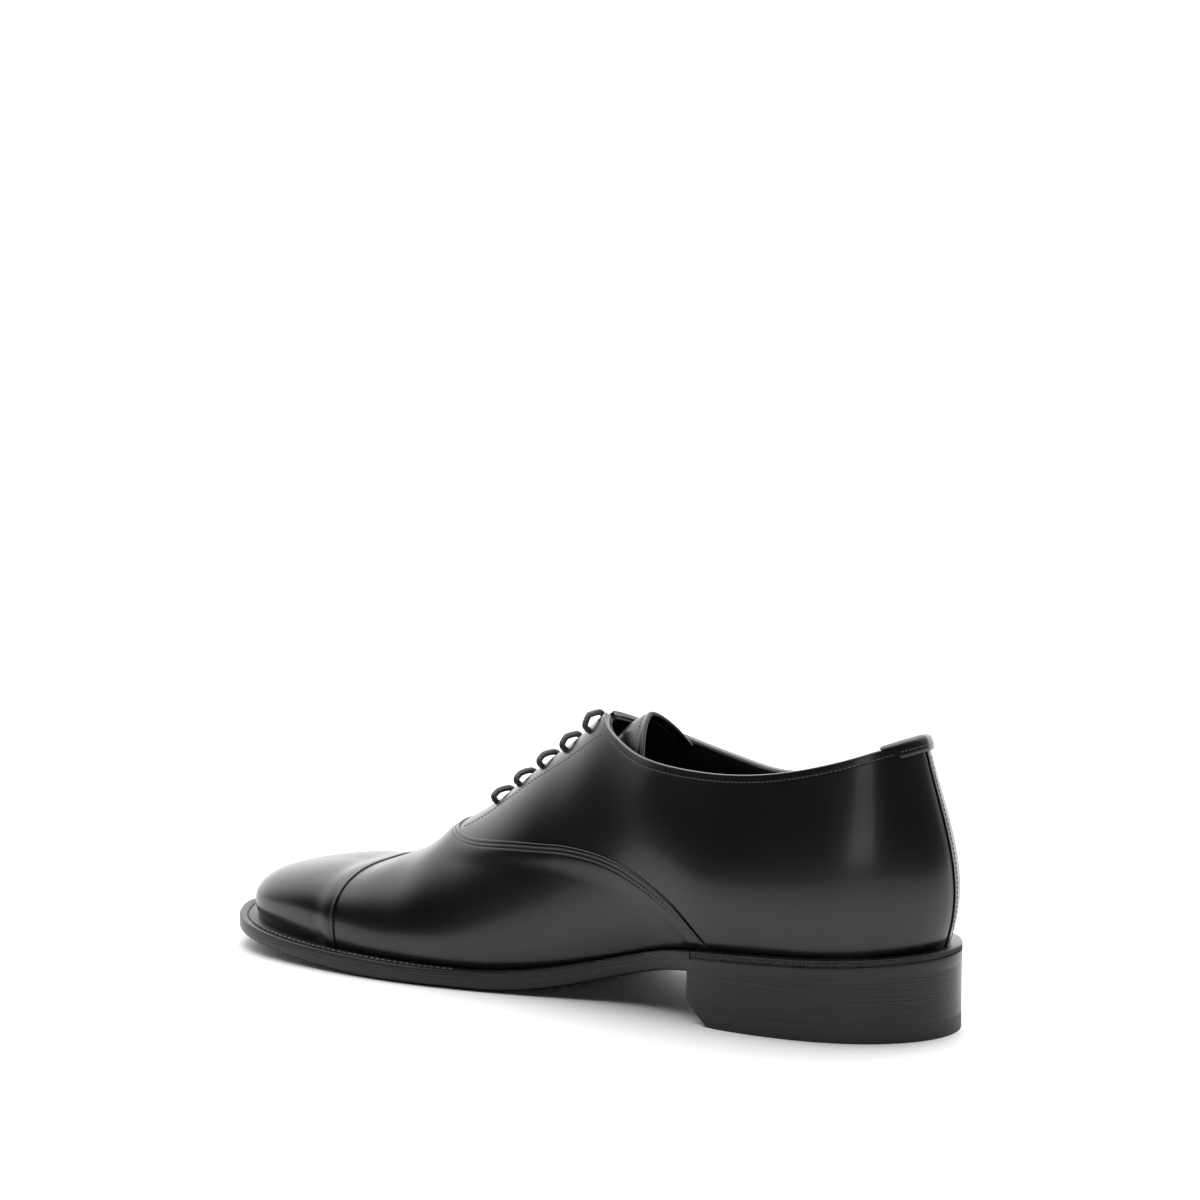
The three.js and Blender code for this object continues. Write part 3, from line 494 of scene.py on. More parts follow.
def capsules(points, normals, pitch, length, radius, lift=0.0):
    """Row of stitches along a line: short rounded threads lying on the surface."""
    steps = np.linalg.norm(np.diff(points, axis=0), axis=1)
    arc = np.concatenate([[0], np.cumsum(steps)])
    count = max(1, int(arc[-1] / pitch))
    middles = (np.arange(count) + 0.5) * arc[-1] / count

    def at(values, where):
        return np.stack([np.interp(where, arc, values[:, k]) for k in range(3)], -1)

    ends = 6
    ring = np.linspace(0, 2 * math.pi, ends, endpoint=False)
    stations_along = np.array([-1, -0.82, -0.4, 0.4, 0.82, 1])
    swell = np.array([0.25, 0.72, 1, 1, 0.72, 0.25])
    all_points, all_faces = [], []
    for middle in middles:
        spine = at(points, middle + stations_along * length / 2)
        up = unit(at(normals, np.full(len(spine), middle)))
        run = unit(np.gradient(spine, axis=0))
        across = unit(np.cross(run, up))
        up = np.cross(across, run)
        sink = (1 - swell)[:, None] * radius * 0.9
        centre = spine + up * (lift - sink)
        rings = (
            centre[:, None]
            + across[:, None] * (np.cos(ring) * radius)[:, None] * swell[:, None, None]
            + up[:, None] * (np.sin(ring) * radius)[:, None] * swell[:, None, None]
        )
        shape = loft(rings)
        offset = len(all_points) * rings.shape[0] * rings.shape[1]
        all_points.append(shape[0])
        all_faces += [[k + offset for k in f] for f in shape[1]]
    return np.concatenate(all_points), all_faces


def grid_normals(points):
    du, dv = np.gradient(points, axis=0), np.gradient(points, axis=1)
    return unit(np.cross(du, dv))


def rounding(distance, radius):
    """Drop of a face towards a rounded edge."""
    t = np.clip(1 - distance / radius, 0, 1)
    return radius * (1 - np.sqrt(np.maximum(0, 1 - t * t)))


def groove(distance, at, depth=0.16, width=0.22):
    return depth * np.exp(-(((distance - at) / width) ** 2))


# Materials
CLOUDS = 30  # soft patches of colour and gloss, in cycles per metre


def nodes_of(name):
    material = bpy.data.materials.new(name)
    material.use_nodes = True
    tree = material.node_tree
    return material, tree, tree.nodes["Principled BSDF"]


def noise(tree, scale, detail=2.0, stretch=(1, 1, 1)):
    """Noise in the object's own space, with its scale in cycles per metre."""
    coordinates = tree.nodes.new("ShaderNodeTexCoord")
    mapping = tree.nodes.new("ShaderNodeMapping")
    mapping.inputs["Scale"].default_value = stretch
    texture = tree.nodes.new("ShaderNodeTexNoise")
    texture.inputs["Scale"].default_value = scale
    texture.inputs["Detail"].default_value = detail
    tree.links.new(coordinates.outputs["Object"], mapping.inputs["Vector"])
    tree.links.new(mapping.outputs["Vector"], texture.inputs["Vector"])
    return texture.outputs["Fac"]


def pores(tree, scale):
    coordinates = tree.nodes.new("ShaderNodeTexCoord")
    texture = tree.nodes.new("ShaderNodeTexVoronoi")
    texture.feature = "SMOOTH_F1"
    texture.inputs["Scale"].default_value = scale
    tree.links.new(coordinates.outputs["Object"], texture.inputs["Vector"])
    return texture.outputs["Distance"]


def spread(tree, value, low_value, high_value, low_in=0.1, high_in=0.9, kind="LINEAR"):
    mapping = tree.nodes.new("ShaderNodeMapRange")
    mapping.interpolation_type = kind
    mapping.inputs["From Min"].default_value = low_in
    mapping.inputs["From Max"].default_value = high_in
    mapping.inputs["To Min"].default_value = low_value
    mapping.inputs["To Max"].default_value = high_value
    tree.links.new(value, mapping.inputs["Value"])
    return mapping.outputs["Result"]


def blend_colours(tree, value, first, second):
    mix = tree.nodes.new("ShaderNodeMix")
    mix.data_type = "RGBA"
    mix.inputs["A"].default_value = (*first, 1)
    mix.inputs["B"].default_value = (*second, 1)
    tree.links.new(value, mix.inputs["Factor"])
    return mix.outputs["Result"]


def bump(tree, shader, heights):
    """Chain of bumps: (height output, strength, distance in metres)."""
    normal = None
    for height, strength, distance in heights:
        node = tree.nodes.new("ShaderNodeBump")
        node.inputs["Strength"].default_value = strength
        node.inputs["Distance"].default_value = distance
        tree.links.new(height, node.inputs["Height"])
        if normal:
            tree.links.new(normal, node.inputs["Normal"])
        normal = node.outputs["Normal"]
    tree.links.new(normal, shader.inputs["Normal"])


def surface(name, dark, light, rough, heights, coat=0.0, coat_rough=0.1, metallic=0.0, level=0.5):
    """Material whose colour and gloss vary softly.

    heights lists its bumps as (kind, scale, strength, distance, stretch).
    """
    material, tree, shader = nodes_of(name)
    cloud = noise(tree, CLOUDS, 3.0)
    colour = blend_colours(tree, spread(tree, cloud, 0, 1), dark, light)
    tree.links.new(colour, shader.inputs["Base Color"])
    tree.links.new(spread(tree, cloud, *rough), shader.inputs["Roughness"])
    shader.inputs["Metallic"].default_value = metallic
    shader.inputs["Specular IOR Level"].default_value = level
    shader.inputs["Coat Weight"].default_value = coat
    shader.inputs["Coat Roughness"].default_value = coat_rough
    made = []
    for kind, scale, strength, distance, stretch in heights:
        height = pores(tree, scale) if kind == "pores" else noise(tree, scale, 4.0, stretch)
        made.append((height, strength, distance))
    bump(tree, shader, made)
    return material


def fine_noise(scale, strength, distance, stretch=(1, 1, 1)):
    return ("noise", scale, strength, distance, stretch)


def fine_pores(scale, strength, distance):
    return ("pores", scale, strength, distance, None)


LAYERED = (0.12, 0.12, 3)  # long flat streaks, as the edge of stacked leather has
BRUSHED = (1, 12, 1)
calf = surface(
    "calf", (0.0025, 0.0026, 0.0028), (0.005, 0.0052, 0.0056), (0.27, 0.34),
    [fine_pores(2600, 0.12, 0.00003), fine_noise(700, 0.08, 0.00005), fine_noise(60, 0.05, 0.0006)],
    coat=0.2, coat_rough=0.14, level=0.42,
)
calf_edge = surface(
    "calf_edge", (0.009, 0.009, 0.009), (0.016, 0.016, 0.016), (0.28, 0.36),
    [fine_noise(900, 0.12, 0.00005)], coat=0.3, coat_rough=0.12,
)
lining_leather = surface(
    "lining_leather", (0.006, 0.0058, 0.0055), (0.011, 0.0105, 0.01), (0.6, 0.75),
    [fine_pores(1600, 0.3, 0.00006), fine_noise(300, 0.2, 0.0002)],
)
sole_edge_finish = surface(
    "sole_edge", (0.004, 0.004, 0.004), (0.009, 0.009, 0.0088), (0.3, 0.46),
    [fine_noise(420, 0.9, 0.00022, LAYERED), fine_noise(1500, 0.15, 0.00004)],
    coat=0.1, coat_rough=0.22, level=0.35,
)
rubber = surface(
    "heel_rubber", (0.009, 0.009, 0.0092), (0.014, 0.014, 0.0142), (0.5, 0.62),
    [fine_noise(1200, 0.3, 0.00006), fine_noise(150, 0.15, 0.0002)],
)
thread = surface(
    "thread", (0.045, 0.045, 0.045), (0.1, 0.1, 0.1), (0.45, 0.6), [fine_noise(3000, 0.5, 0.0001)]
)
welt_thread = surface(
    "welt_thread", (0.1, 0.1, 0.1), (0.24, 0.24, 0.235), (0.5, 0.7), [fine_noise(3000, 0.5, 0.0001)]
)
lace_finish = surface(
    "lace", (0.007, 0.007, 0.007), (0.015, 0.015, 0.015), (0.42, 0.6), [fine_noise(4000, 0.4, 0.00008)]
)
leatherboard = surface(
    "leatherboard", (0.2, 0.11, 0.05), (0.3, 0.18, 0.09), (0.75, 0.9), [fine_noise(900, 0.4, 0.0001)]
)
cork = surface(
    "cork", (0.26, 0.14, 0.06), (0.5, 0.3, 0.14), (0.85, 0.95), [fine_pores(500, 0.7, 0.0004)]
)
steel = surface(
    "steel", (0.45, 0.45, 0.47), (0.55, 0.55, 0.57), (0.25, 0.4),
    [fine_noise(800, 0.15, 0.00005, BRUSHED)], metallic=1.0,
)
brass = surface(
    "brass", (0.5, 0.33, 0.11), (0.66, 0.46, 0.18), (0.3, 0.45),
    [fine_noise(900, 0.15, 0.00005)], metallic=1.0,
)


# Upper
EDGE_LIFT = 0.7  # how far an overlapping edge stands above the piece under it
EDGE_ROUND = 0.42
EDGE_ROWS = [0, 0.05, 0.14, 0.28, 0.45]  # rows of points close together round an edge, then further apart
OUTER_ROWS = [3.4, 3.8, 4.4, 5.2, 6.3, 7.6, 9.2]
FINE = [*EDGE_ROWS, 0.7, 1.0, 1.3, 1.6, 1.9, 2.2, 2.5, 2.8, 3.1, *OUTER_ROWS, 11]
FIRST_ROW, SECOND_ROW = 1.6, 3.1  # distances of the double rows of stitches from an edge
MARGIN_ROWS = [0, 0.4, 1, 2, 3.5]  # rows of points above the crease


def overlap(distance):
    """Depths of the outer and inner faces of a piece whose edge lies on another piece."""
    raised = EDGE_LIFT * (1 - ease((distance - 3.6) / 7))
    outer = rounding(distance, EDGE_ROUND) - raised
    inner = -0.05 + (LEATHER + 0.05) * ease((distance - 5.5) / 6)
    return outer, inner


def build_cap():
    half = 76
    medial = across_line(MEDIAL, CAP_SEAM_X, half)
    lateral = across_line(LATERAL, CAP_SEAM_X, half)[::-1]
    edge = chain(medial, lateral)
    signs = np.concatenate([np.ones(half), -np.ones(half - 1)])
    tip = np.stack([np.full(len(edge), math.pi), edge[:, 1]], -1)
    spots = ruled(signs, edge, tip, FINE, [0], 70)
    distance = spots["from_edge"]
    outer, inner = overlap(distance)
    outer = outer + groove(distance, FIRST_ROW)
    faces_out = place(spots["theta"], spots["v"], outer)
    shape = closed_sheet(faces_out, place(spots["theta"], spots["v"], inner))
    piece("toe_cap_leather", shape, calf, stands_for=["toe_cap"])
    normals = -grid_normals(faces_out)
    k = FINE.index(FIRST_ROW)
    row = capsules(faces_out[3:-3, k], normals[3:-3, k], 1.6, 1.1, 0.22, 0.04)
    piece("cap_stitches", row, thread)


def build_vamp():
    steps, front = 150, 52
    edges, fars, signs = [], [], []
    for side in (MEDIAL, LATERAL):
        seam = seam_line(side, steps)
        start = float(seam[0, 0])
        sill = crease_line(side, start, theta_of(CAP_SEAM_X + 5), steps - front + 1)
        cross = across_line(side, CAP_SEAM_X + 5, front)
        edges.append(seam)
        fars.append(chain(sill, cross))
        signs.append(np.full(steps, float(side)))
    edge = np.concatenate([edges[0], edges[1][::-1][1:]])
    far = np.concatenate([fars[0], fars[1][::-1][1:]])
    signs = np.concatenate([signs[0], signs[1][1:]])
    spots = ruled(signs, edge, far, FINE, MARGIN_ROWS, 44)
    distance = spots["from_edge"]
    outer, inner = overlap(distance)
    outer = outer + groove(distance, FIRST_ROW) + groove(distance, SECOND_ROW)
    low_part = np.clip(spots["v"] / 0.04, 0, 1)
    outer = outer * low_part
    inner = LEATHER + (inner - LEATHER) * low_part
    faces_out = place(spots["theta"], spots["v"], outer)
    shape = closed_sheet(faces_out, place(spots["theta"], spots["v"], inner))
    piece("vamp_leather", shape, calf, stands_for=["vamp"])
    normals = -grid_normals(faces_out)
    for name, at in (("upper", FIRST_ROW), ("lower", SECOND_ROW)):
        k = FINE.index(at)
        row = capsules(faces_out[4:-4, k], normals[4:-4, k], 1.6, 1.1, 0.22, 0.04)
        piece(f"vamp_stitches_{name}", row, thread)


QUARTER_COLUMNS = 230
CORNER_COLUMN = 148
SILL_COLUMNS = 92
BACK = 0.004
TOP_ROWS = [*EDGE_ROWS, 0.8, 1.2, 1.6, 2.0, 2.35, 2.7, 3.05, *OUTER_ROWS]
TOP_STITCH = 2.7
BACK_LAP = 0.55  # the lateral quarter laps over the medial one along the back seam
FACING_STITCH = 12.4  # distance of the facing's row of stitches from the middle plane


def quarter_spots(side, top_rows, low_rows, middle, columns=QUARTER_COLUMNS):
    share = columns / QUARTER_COLUMNS
    corner = corner_theta(side)
    corner_column, sill = round(CORNER_COLUMN * share), round(SILL_COLUMNS * share)
    top = chain(
        top_line(side, BACK, corner, corner_column),
        top_line(side, corner, float(THROAT) - 0.002, columns - corner_column + 1),
    )
    seam = seam_line(side, columns - sill + 1)
    bottom = chain(crease_line(side, BACK, float(seam[0, 0]), sill), seam)
    return ruled(side, top, bottom, top_rows, low_rows, middle), corner_column


def build_quarter(side):
    name = NAMES[side]
    spots, corner = quarter_spots(side, TOP_ROWS, [-5, -2.5, *MARGIN_ROWS], 46)
    distance, from_back = spots["from_edge"], distance_from_back(spots)
    lap = BACK_LAP * (1 - ease(from_back / 6)) * (side == LATERAL)
    outer = rounding(distance, EDGE_ROUND) + groove(distance, TOP_STITCH, 0.08) - lap
    outer = outer + rounding(from_back, 0.5)
    faces_out = place(spots["theta"], spots["v"], outer)
    inner = np.full(outer.shape, LEATHER)
    shape = closed_sheet(faces_out, place(spots["theta"], spots["v"], inner))
    piece(f"quarter_{name}_leather", shape, calf, stands_for=[f"quarter_{name}"])
    normals = grid_normals(faces_out) * -side
    k = TOP_ROWS.index(TOP_STITCH)
    row = capsules(faces_out[4 : corner - 2, k], normals[4 : corner - 2, k], 1.7, 1.2, 0.21, 0.04)
    piece(f"topline_stitches_{name}", row, thread)
    facing_row(side)
    if side == LATERAL:
        back_row(spots, faces_out, normals)


def distance_from_back(spots):
    """Distance of each spot from the back seam. Spots in front of the heel count as far away."""
    points = skin(spots["theta"], np.clip(spots["v"], 0, 1))
    return np.abs(points[..., 1]) + 100 * (spots["x"] > 30)


def facing_row(side):
    """Row of stitches down the facing, from the topline to the vamp."""
    theta = np.linspace(theta_of(131), THROAT, 260)
    v = v_at_width(side * theta, FACING_STITCH)
    points = place(side * theta, v, 0.02)
    normals = skin_normal(side * theta, v)
    edge = topline_height(side, points[:, 0])
    kept = (points[:, 2] < edge - 3.2) & (x_of(theta) < SEAM_X[side](v) - 1.5)
    row = capsules(points[kept], normals[kept], 1.7, 1.2, 0.22, 0.06)
    piece(f"facing_stitches_{NAMES[side]}", row, thread)


def back_row(spots, faces_out, normals):
    """Stitches just beside the back seam, on the lapped side."""
    at = 2.2
    heel_columns = 40
    distance = distance_from_back(spots)[:heel_columns]
    points, directions = [], []
    for j in range(faces_out.shape[1]):
        column = int(np.argmin(np.abs(distance[:, j] - at)))
        if spots["from_edge"][column, j] > 6 and spots["v"][column, j] > 0.03:
            points.append(faces_out[column, j])
            directions.append(normals[column, j])
    row = capsules(np.array(points), np.array(directions), 1.7, 1.2, 0.19)
    piece("back_seam_stitches", row, thread)


def build_lining(side):
    name = NAMES[side]
    spots, _ = quarter_spots(side, [0, 0.15, 0.4, 1, 2, 4], [0, 1.5, 4], 22, columns=150)
    rise = 1.2 * ease((spots["v"] - 0.6) / 0.12) * (1 - ease((spots["x"] - 112) / 20))
    outer = LINING_TOP - rise
    inner = LINING_BOTTOM - rise - rounding(spots["from_edge"], 0.4)
    theta, v = spots["theta"], spots["v"]
    shape = closed_sheet(place(theta, v, outer), place(theta, v, inner))
    replaced = f"quarter_lining_{name}"
    piece(f"{replaced}_leather", shape, lining_leather, stands_for=[replaced])


def top_frame(side, count):
    """Spots on the quarter's top edge up to the facing's corner, with the way out and the way up."""
    line = top_line(side, BACK, corner_theta(side), count)
    theta, v = side * line[:, 0], line[:, 1]
    rising = unit(skin(theta, v) - skin(theta, v - 0.02))
    return theta, v, skin_normal(theta, v), rising


def build_binding(side):
    """Rolled edge along the topline."""
    theta, v, out, rising = top_frame(side, 220)
    bead, middle = 0.5, 1.75
    centre = place(theta, v, middle) - rising * 0.2
    turns = np.linspace(0, 2 * math.pi, 14, endpoint=False)
    rings = (
        centre[:, None]
        + rising[:, None] * (np.sin(turns) * bead)[:, None]
        + out[:, None] * (np.cos(turns) * bead * 1.9)[:, None]
    )
    shape = loft(rings)
    name = NAMES[side]
    piece(f"topline_binding_{name}_roll", shape, calf_edge, stands_for=[f"topline_binding_{name}"])


def build_tab():
    """Small tab folded over the top of the back seam."""
    section = np.array(
        [(-4.7, -0.75), (-4.55, -1.1), (-4.1, -1.3), (-3.2, -1.35), (-2.4, -1.32), (-1.4, -1.35),
         (-0.2, -1.3), (0.6, -1), (1.2, -0.3), (1.5, 0.8), (1.45, 2), (1, 3), (0, 3.7), (-1.5, 4.15),
         (-3.5, 4.2)]
    )
    ups, depths = section.T
    turn = unit(np.gradient(section, axis=0))
    reach = 12.5 + 4.5 * np.clip((ups + 4.7) / 4.7, 0, 1)
    outer, inner = [], []
    for side, widths in ((MEDIAL, np.linspace(1, 0, 26)), (LATERAL, np.linspace(0, 1, 26)[1:])):
        theta = heel_theta(widths[:, None] * reach)
        v = top_v(side, theta)
        theta = side * theta
        climb = skin(theta, v) - skin(theta, v - 0.02)
        scale = np.linalg.norm(climb, axis=-1) / 0.02
        rising, out = unit(climb), skin_normal(theta, v)
        face = place(theta, v + np.minimum(ups, 0) / scale, depths)
        face = face + rising * np.maximum(ups, 0)[:, None]
        outer.append(face)
        inner.append(face - (rising * turn[:, 1:] + out * turn[:, :1]) * 0.5)
    outer, inner = np.concatenate(outer), np.concatenate(inner)
    piece("heel_tab_leather", closed_sheet(outer, inner), calf, stands_for=["heel_tab"])
    row = capsules(outer[3:-3, 4], unit(outer[3:-3, 4] - inner[3:-3, 4]), 1.6, 1.1, 0.18)
    piece("heel_tab_stitches", row, thread)


def heel_theta(y):
    """Station near the heel for a distance from the middle of the back."""
    return theta_of(15 * (np.abs(y) / 17.5) ** 2 + 0.02)


# Tongue
TONGUE_END = 127
TONGUE_ROOT = 214
TONGUE_DEPTH = 8.9  # its outer face under the facings, below the outer face of the upper
TONGUE_COLUMN = 4.6  # width of one coarse column
EDGE_STEPS = [0, 0.08, 0.25, 0.45, 0.7, 1, 1.5, 2.2]


def through_columns(coarse, at):
    """Smooth surface through the columns of a coarse grid, read at fractional columns."""
    keys = np.arange(coarse.shape[1])
    made = np.empty((coarse.shape[0], len(at), 3))
    for i, row in enumerate(coarse):
        for axis in range(3):
            made[i, :, axis] = spline(keys, row[:, axis])(at)
    return made


def build_tongue():
    depth_at = spline(
        [118, 132, 146, 176, 196, 206, TONGUE_ROOT],
        [5.4, 6.8, TONGUE_DEPTH, TONGUE_DEPTH, 8, 6.6, LINING_BOTTOM + 1.4],
    )
    more_rows = np.linspace(TONGUE_END + 3, TONGUE_ROOT, 60)
    rows = np.concatenate([TONGUE_END + np.array(EDGE_STEPS), more_rows])[:, None]
    s = np.linspace(1, -1, 11)[None, :]
    half_width = 23 - 7 * ease((rows - TONGUE_END) / 80)
    sweep = 8 * s**2 * (1 - ease((rows - TONGUE_END) / 40))
    hollow = 2.4 * (1 - np.abs(s)) ** 2 * (1 - ease((rows - TONGUE_END) / 30))
    theta = np.where(s < 0, -1, 1) * theta_of(rows - sweep)
    v = np.where(np.abs(s) < 1e-9, 1, v_at_width(theta, np.abs(s) * half_width))
    depth = depth_at(rows - sweep) + hollow
    side_steps = np.array(EDGE_STEPS) / TONGUE_COLUMN
    at = np.concatenate([side_steps, np.linspace(0.65, 9.35, 44), 10 - side_steps[::-1]])
    from_side = TONGUE_COLUMN * np.minimum(at, 10 - at)[None, :]
    from_edge = np.minimum(from_side, (rows - TONGUE_END) * 1.1)
    faces = [through_columns(place(theta, v, depth + extra), at) for extra in (0, TONGUE)]
    through = (faces[1] - faces[0]) / TONGUE
    inset = rounding(from_edge, 0.65) - 0.25 * np.exp(-(((from_edge - 0.75) / 0.5) ** 2))
    outer = faces[0] + through * inset[..., None]
    inner = faces[1] - through * inset[..., None]
    piece("tongue_leather", closed_sheet(outer, inner), calf, body="tongue", stands_for=["tongue"])
    for name, face, sign in (("front", outer, -1), ("back", inner, 1)):
        shape = capsules(tongue_border(face), sign * unit(tongue_border(through)), 1.8, 1.25, 0.2)
        piece(f"tongue_stitches_{name}", shape, thread, body="tongue")


def tongue_border(grid):
    """A line round the tongue's free end, just inside its edge."""
    k, last_row = len(EDGE_STEPS), 40
    return np.concatenate([grid[last_row:k:-1, k], grid[k, k:-k], grid[k + 1 : last_row + 1, -k - 1]])


# Lace
FRONT_EYELET_X, TOP_EYELET_X = 187.8, 147
EYELET_STEP = (TOP_EYELET_X - FRONT_EYELET_X) / (EYELET_ROWS - 1)
EYELET_X = [FRONT_EYELET_X + EYELET_STEP * i for i in range(EYELET_ROWS)]
EYELET_Y = 6.6


def eyelet(side, row):
    theta = side * theta_of(EYELET_X[row])
    v = v_at_width(theta, EYELET_Y)
    return skin(theta, v), skin_normal(theta, v)


def lace_route():
    """The lace climbs from hole to hole under the facings, and its two ends are tucked in there."""
    under = LINING_BOTTOM + 2.9

    def below(side, x, y):
        theta = side * theta_of(x)
        return [place(theta, v_at_width(theta, y), under)]

    def through(side, row):
        point, normal = eyelet(side, row)
        return [point - normal * depth for depth in (-2, 1.5, 4.2, under - 0.4)]

    def arch(row):
        theta = theta_of(EYELET_X[row])
        crest, normal = skin(theta, 1.0), skin_normal(theta, 1.0)
        made = []
        for y in np.linspace(EYELET_Y - 2.4, 2.4 - EYELET_Y, 5):
            made.append(np.array([crest[0], y, crest[2]]) + normal * (2.7 - 0.9 * (y / EYELET_Y) ** 2))
        return made

    def cross(side, row):
        bridge = arch(row) if side > 0 else arch(row)[::-1]
        return through(side, row)[::-1] + bridge + through(-side, row)

    def climb(side, first, last, y):
        a, b = EYELET_X[first], EYELET_X[last]
        away = 3 * math.copysign(1, b - a)
        leaving = EYELET_Y + (y - EYELET_Y) * 0.75
        spots = [(a + away, leaving), ((a + b) / 2, y), (b - away, leaving)]
        return [p for x, width in spots for p in below(side, x, width)]

    start = [(26, 14.4), (14, 14.4), (4, 11.6)]
    end = [(4, 11.6), (14, 14.8), (26, 14.8)]
    route = [p for x, y in start for p in below(MEDIAL, EYELET_X[3] + x, y)]
    route += cross(MEDIAL, 3) + climb(LATERAL, 3, 1, EYELET_Y + 2.8)
    route += cross(LATERAL, 1) + climb(MEDIAL, 1, 0, EYELET_Y)
    route += cross(MEDIAL, 0) + climb(LATERAL, 0, 2, EYELET_Y - 2.8)
    route += cross(LATERAL, 2) + climb(MEDIAL, 2, 4, EYELET_Y - 2.8)
    route += cross(MEDIAL, 4)
    route += [p for x, y in end for p in below(LATERAL, EYELET_X[4] + x, y)]
    return np.array(route)


def smooth_path(points, step):
    """Centripetal Catmull-Rom curve in even steps."""
    padded = np.concatenate([[2 * points[0] - points[1]], points, [2 * points[-1] - points[-2]]])
    made = []
    for p0, p1, p2, p3 in zip(padded, padded[1:], padded[2:], padded[3:]):
        t1 = np.linalg.norm(p1 - p0) ** 0.5
        t2 = t1 + np.linalg.norm(p2 - p1) ** 0.5
        t3 = t2 + np.linalg.norm(p3 - p2) ** 0.5
        t = np.linspace(t1, t2, 24, endpoint=False)[:, None]
        a1 = (t1 - t) / t1 * p0 + t / t1 * p1
        a2 = (t2 - t) / (t2 - t1) * p1 + (t - t1) / (t2 - t1) * p2
        a3 = (t3 - t) / (t3 - t2) * p2 + (t - t2) / (t3 - t2) * p3
        b1 = (t2 - t) / t2 * a1 + t / t2 * a2
        b2 = (t3 - t) / (t3 - t1) * a2 + (t - t1) / (t3 - t1) * a3
        made.append((t2 - t) / (t2 - t1) * b1 + (t - t1) / (t2 - t1) * b2)
    line = np.concatenate([*made, points[-1:]])
    arc = np.concatenate([[0], np.cumsum(np.linalg.norm(np.diff(line, axis=0), axis=1))])
    at = np.linspace(0, arc[-1], int(arc[-1] / step))
    return np.stack([np.interp(at, arc, line[:, k]) for k in range(3)], -1)


def build_lace():
    step = 0.3
    path = smooth_path(lace_route(), step)
    run = unit(np.gradient(path, axis=0))
    across = np.zeros_like(path)
    across[0] = unit(np.cross(run[0], [0, 0, 1.0]))
    for i in range(1, len(path)):
        across[i] = unit(across[i - 1] - run[i] * np.dot(across[i - 1], run[i]))
    up = np.cross(run, across)
    turns = np.linspace(0, 2 * math.pi, 24, endpoint=False)[None, :]
    along_path = (np.arange(len(path)) * step)[:, None]
    twist = 2 * math.pi * along_path / 3.2
    braid = np.maximum(np.cos(4 * turns + twist * 2), np.cos(4 * turns - twist * 2))
    radius = (LACE / 2 - 0.12 + 0.12 * braid)[..., None]
    spoke = across[:, None] * np.cos(turns)[..., None] + up[:, None] * np.sin(turns)[..., None]
    rings = path[:, None] + radius * spoke
    piece("lace_braid", loft(rings), lace_finish, stands_for=["lace"], sharp=80)


# Sole unit
def underfoot(theta, inset, level):
    theta = np.asarray(theta, float)
    plan = sole_edge(theta) - outward(theta) * np.asarray(inset)[..., None]
    return np.stack([plan[..., 0], plan[..., 1], level(plan[..., 0])], -1)


def section_rings(theta, section):
    return np.stack([underfoot(theta, inset, level) for inset, level in section], 1)


def plate(from_x, to_x, steps, section):
    """Plate across the shoe. The section gives its medial corners; the lateral ones mirror them."""
    theta = np.linspace(theta_of(from_x), theta_of(to_x), steps)
    medial = section_rings(theta, section(theta))
    lateral = section_rings(-theta, section(-theta))[:, ::-1]
    return loft(np.concatenate([medial, lateral], 1))


def strip(start, end, steps, section, ripple=None):
    """Strip along the sole's edge, from the medial round to the lateral side when end is past pi."""
    s = np.linspace(start, end, steps)
    theta = np.where(s > math.pi, s - 2 * math.pi, s)
    rings = section_rings(theta, section(theta))
    if ripple is not None:
        rings = ripple(rings, theta)
    return loft(rings)


def margin(theta):
    return welt_width(theta) + LASTING_MARGIN + 1


def build_outsole():
    """The outsole's lower edge is bevelled in front of the heel, and most of all at the waist."""

    def ahead_of_heel(x):
        return ease((x - HEEL_BREAST + 2) / 8)

    def raised(height):
        return lambda x: underside(x) + height * (0.02 + 0.98 * ahead_of_heel(x))

    def section(theta):
        x = x_of(np.abs(theta))
        waist = ease((x - 92) / 20) * (1 - ease((x - 190) / 30))
        bevel = 0.05 + (0.95 + 1.6 * waist) * ahead_of_heel(x)
        return [
            (14, underside),
            (bevel * 1.8, underside),
            (bevel, raised(0.12)),
            (bevel * 0.45, raised(0.5)),
            (bevel * 0.1, raised(1.15)),
            (0, raised(1.5)),
            (0, over(-0.04)),
            (0.04, over(0)),
            (6, over(0)),
        ]

    shape = plate(0, SOLE_LENGTH, 220, section)
    piece("outsole_edge", shape, sole_edge_finish, stands_for=["outsole"])


WELT_SEAM = 3.4  # distance of the welt's seam from its edge, in a shallow channel


def build_welt():
    near_breast = float(theta_of(HEEL_BREAST))

    def section(theta):
        return [
            (margin(theta), over(WELT_BASE)),
            (0.04, over(WELT_BASE)),
            (0, over(WELT_BASE + 0.04)),
            (0, over(WELT_TOP - 0.6)),
            (0.12, over(WELT_TOP - 0.2)),
            (0.5, over(WELT_TOP)),
            (WELT_SEAM - 0.9, over(WELT_TOP)),
            (WELT_SEAM - 0.4, over(WELT_TOP - 0.25)),
            (WELT_SEAM + 0.4, over(WELT_TOP - 0.25)),
            (WELT_SEAM + 0.9, over(WELT_TOP)),
            (margin(theta), over(WELT_TOP)),
        ]

    shape = strip(near_breast + 0.004, 2 * math.pi - near_breast - 0.004, 420, section)
    piece("welt_strip", shape, sole_edge_finish, stands_for=["welt"])
    seam_end = theta_of(186)
    s = np.linspace(seam_end, 2 * math.pi - seam_end, 600)
    theta = np.where(s > math.pi, s - 2 * math.pi, s)
    path = underfoot(theta, WELT_SEAM, over(WELT_TOP - 0.1))
    ups = np.tile([0, 0, 1.0], (len(path), 1))
    piece("welt_stitches", capsules(path, ups, 2.6, 1.9, 0.34), welt_thread)


RAND_RIBS = 300


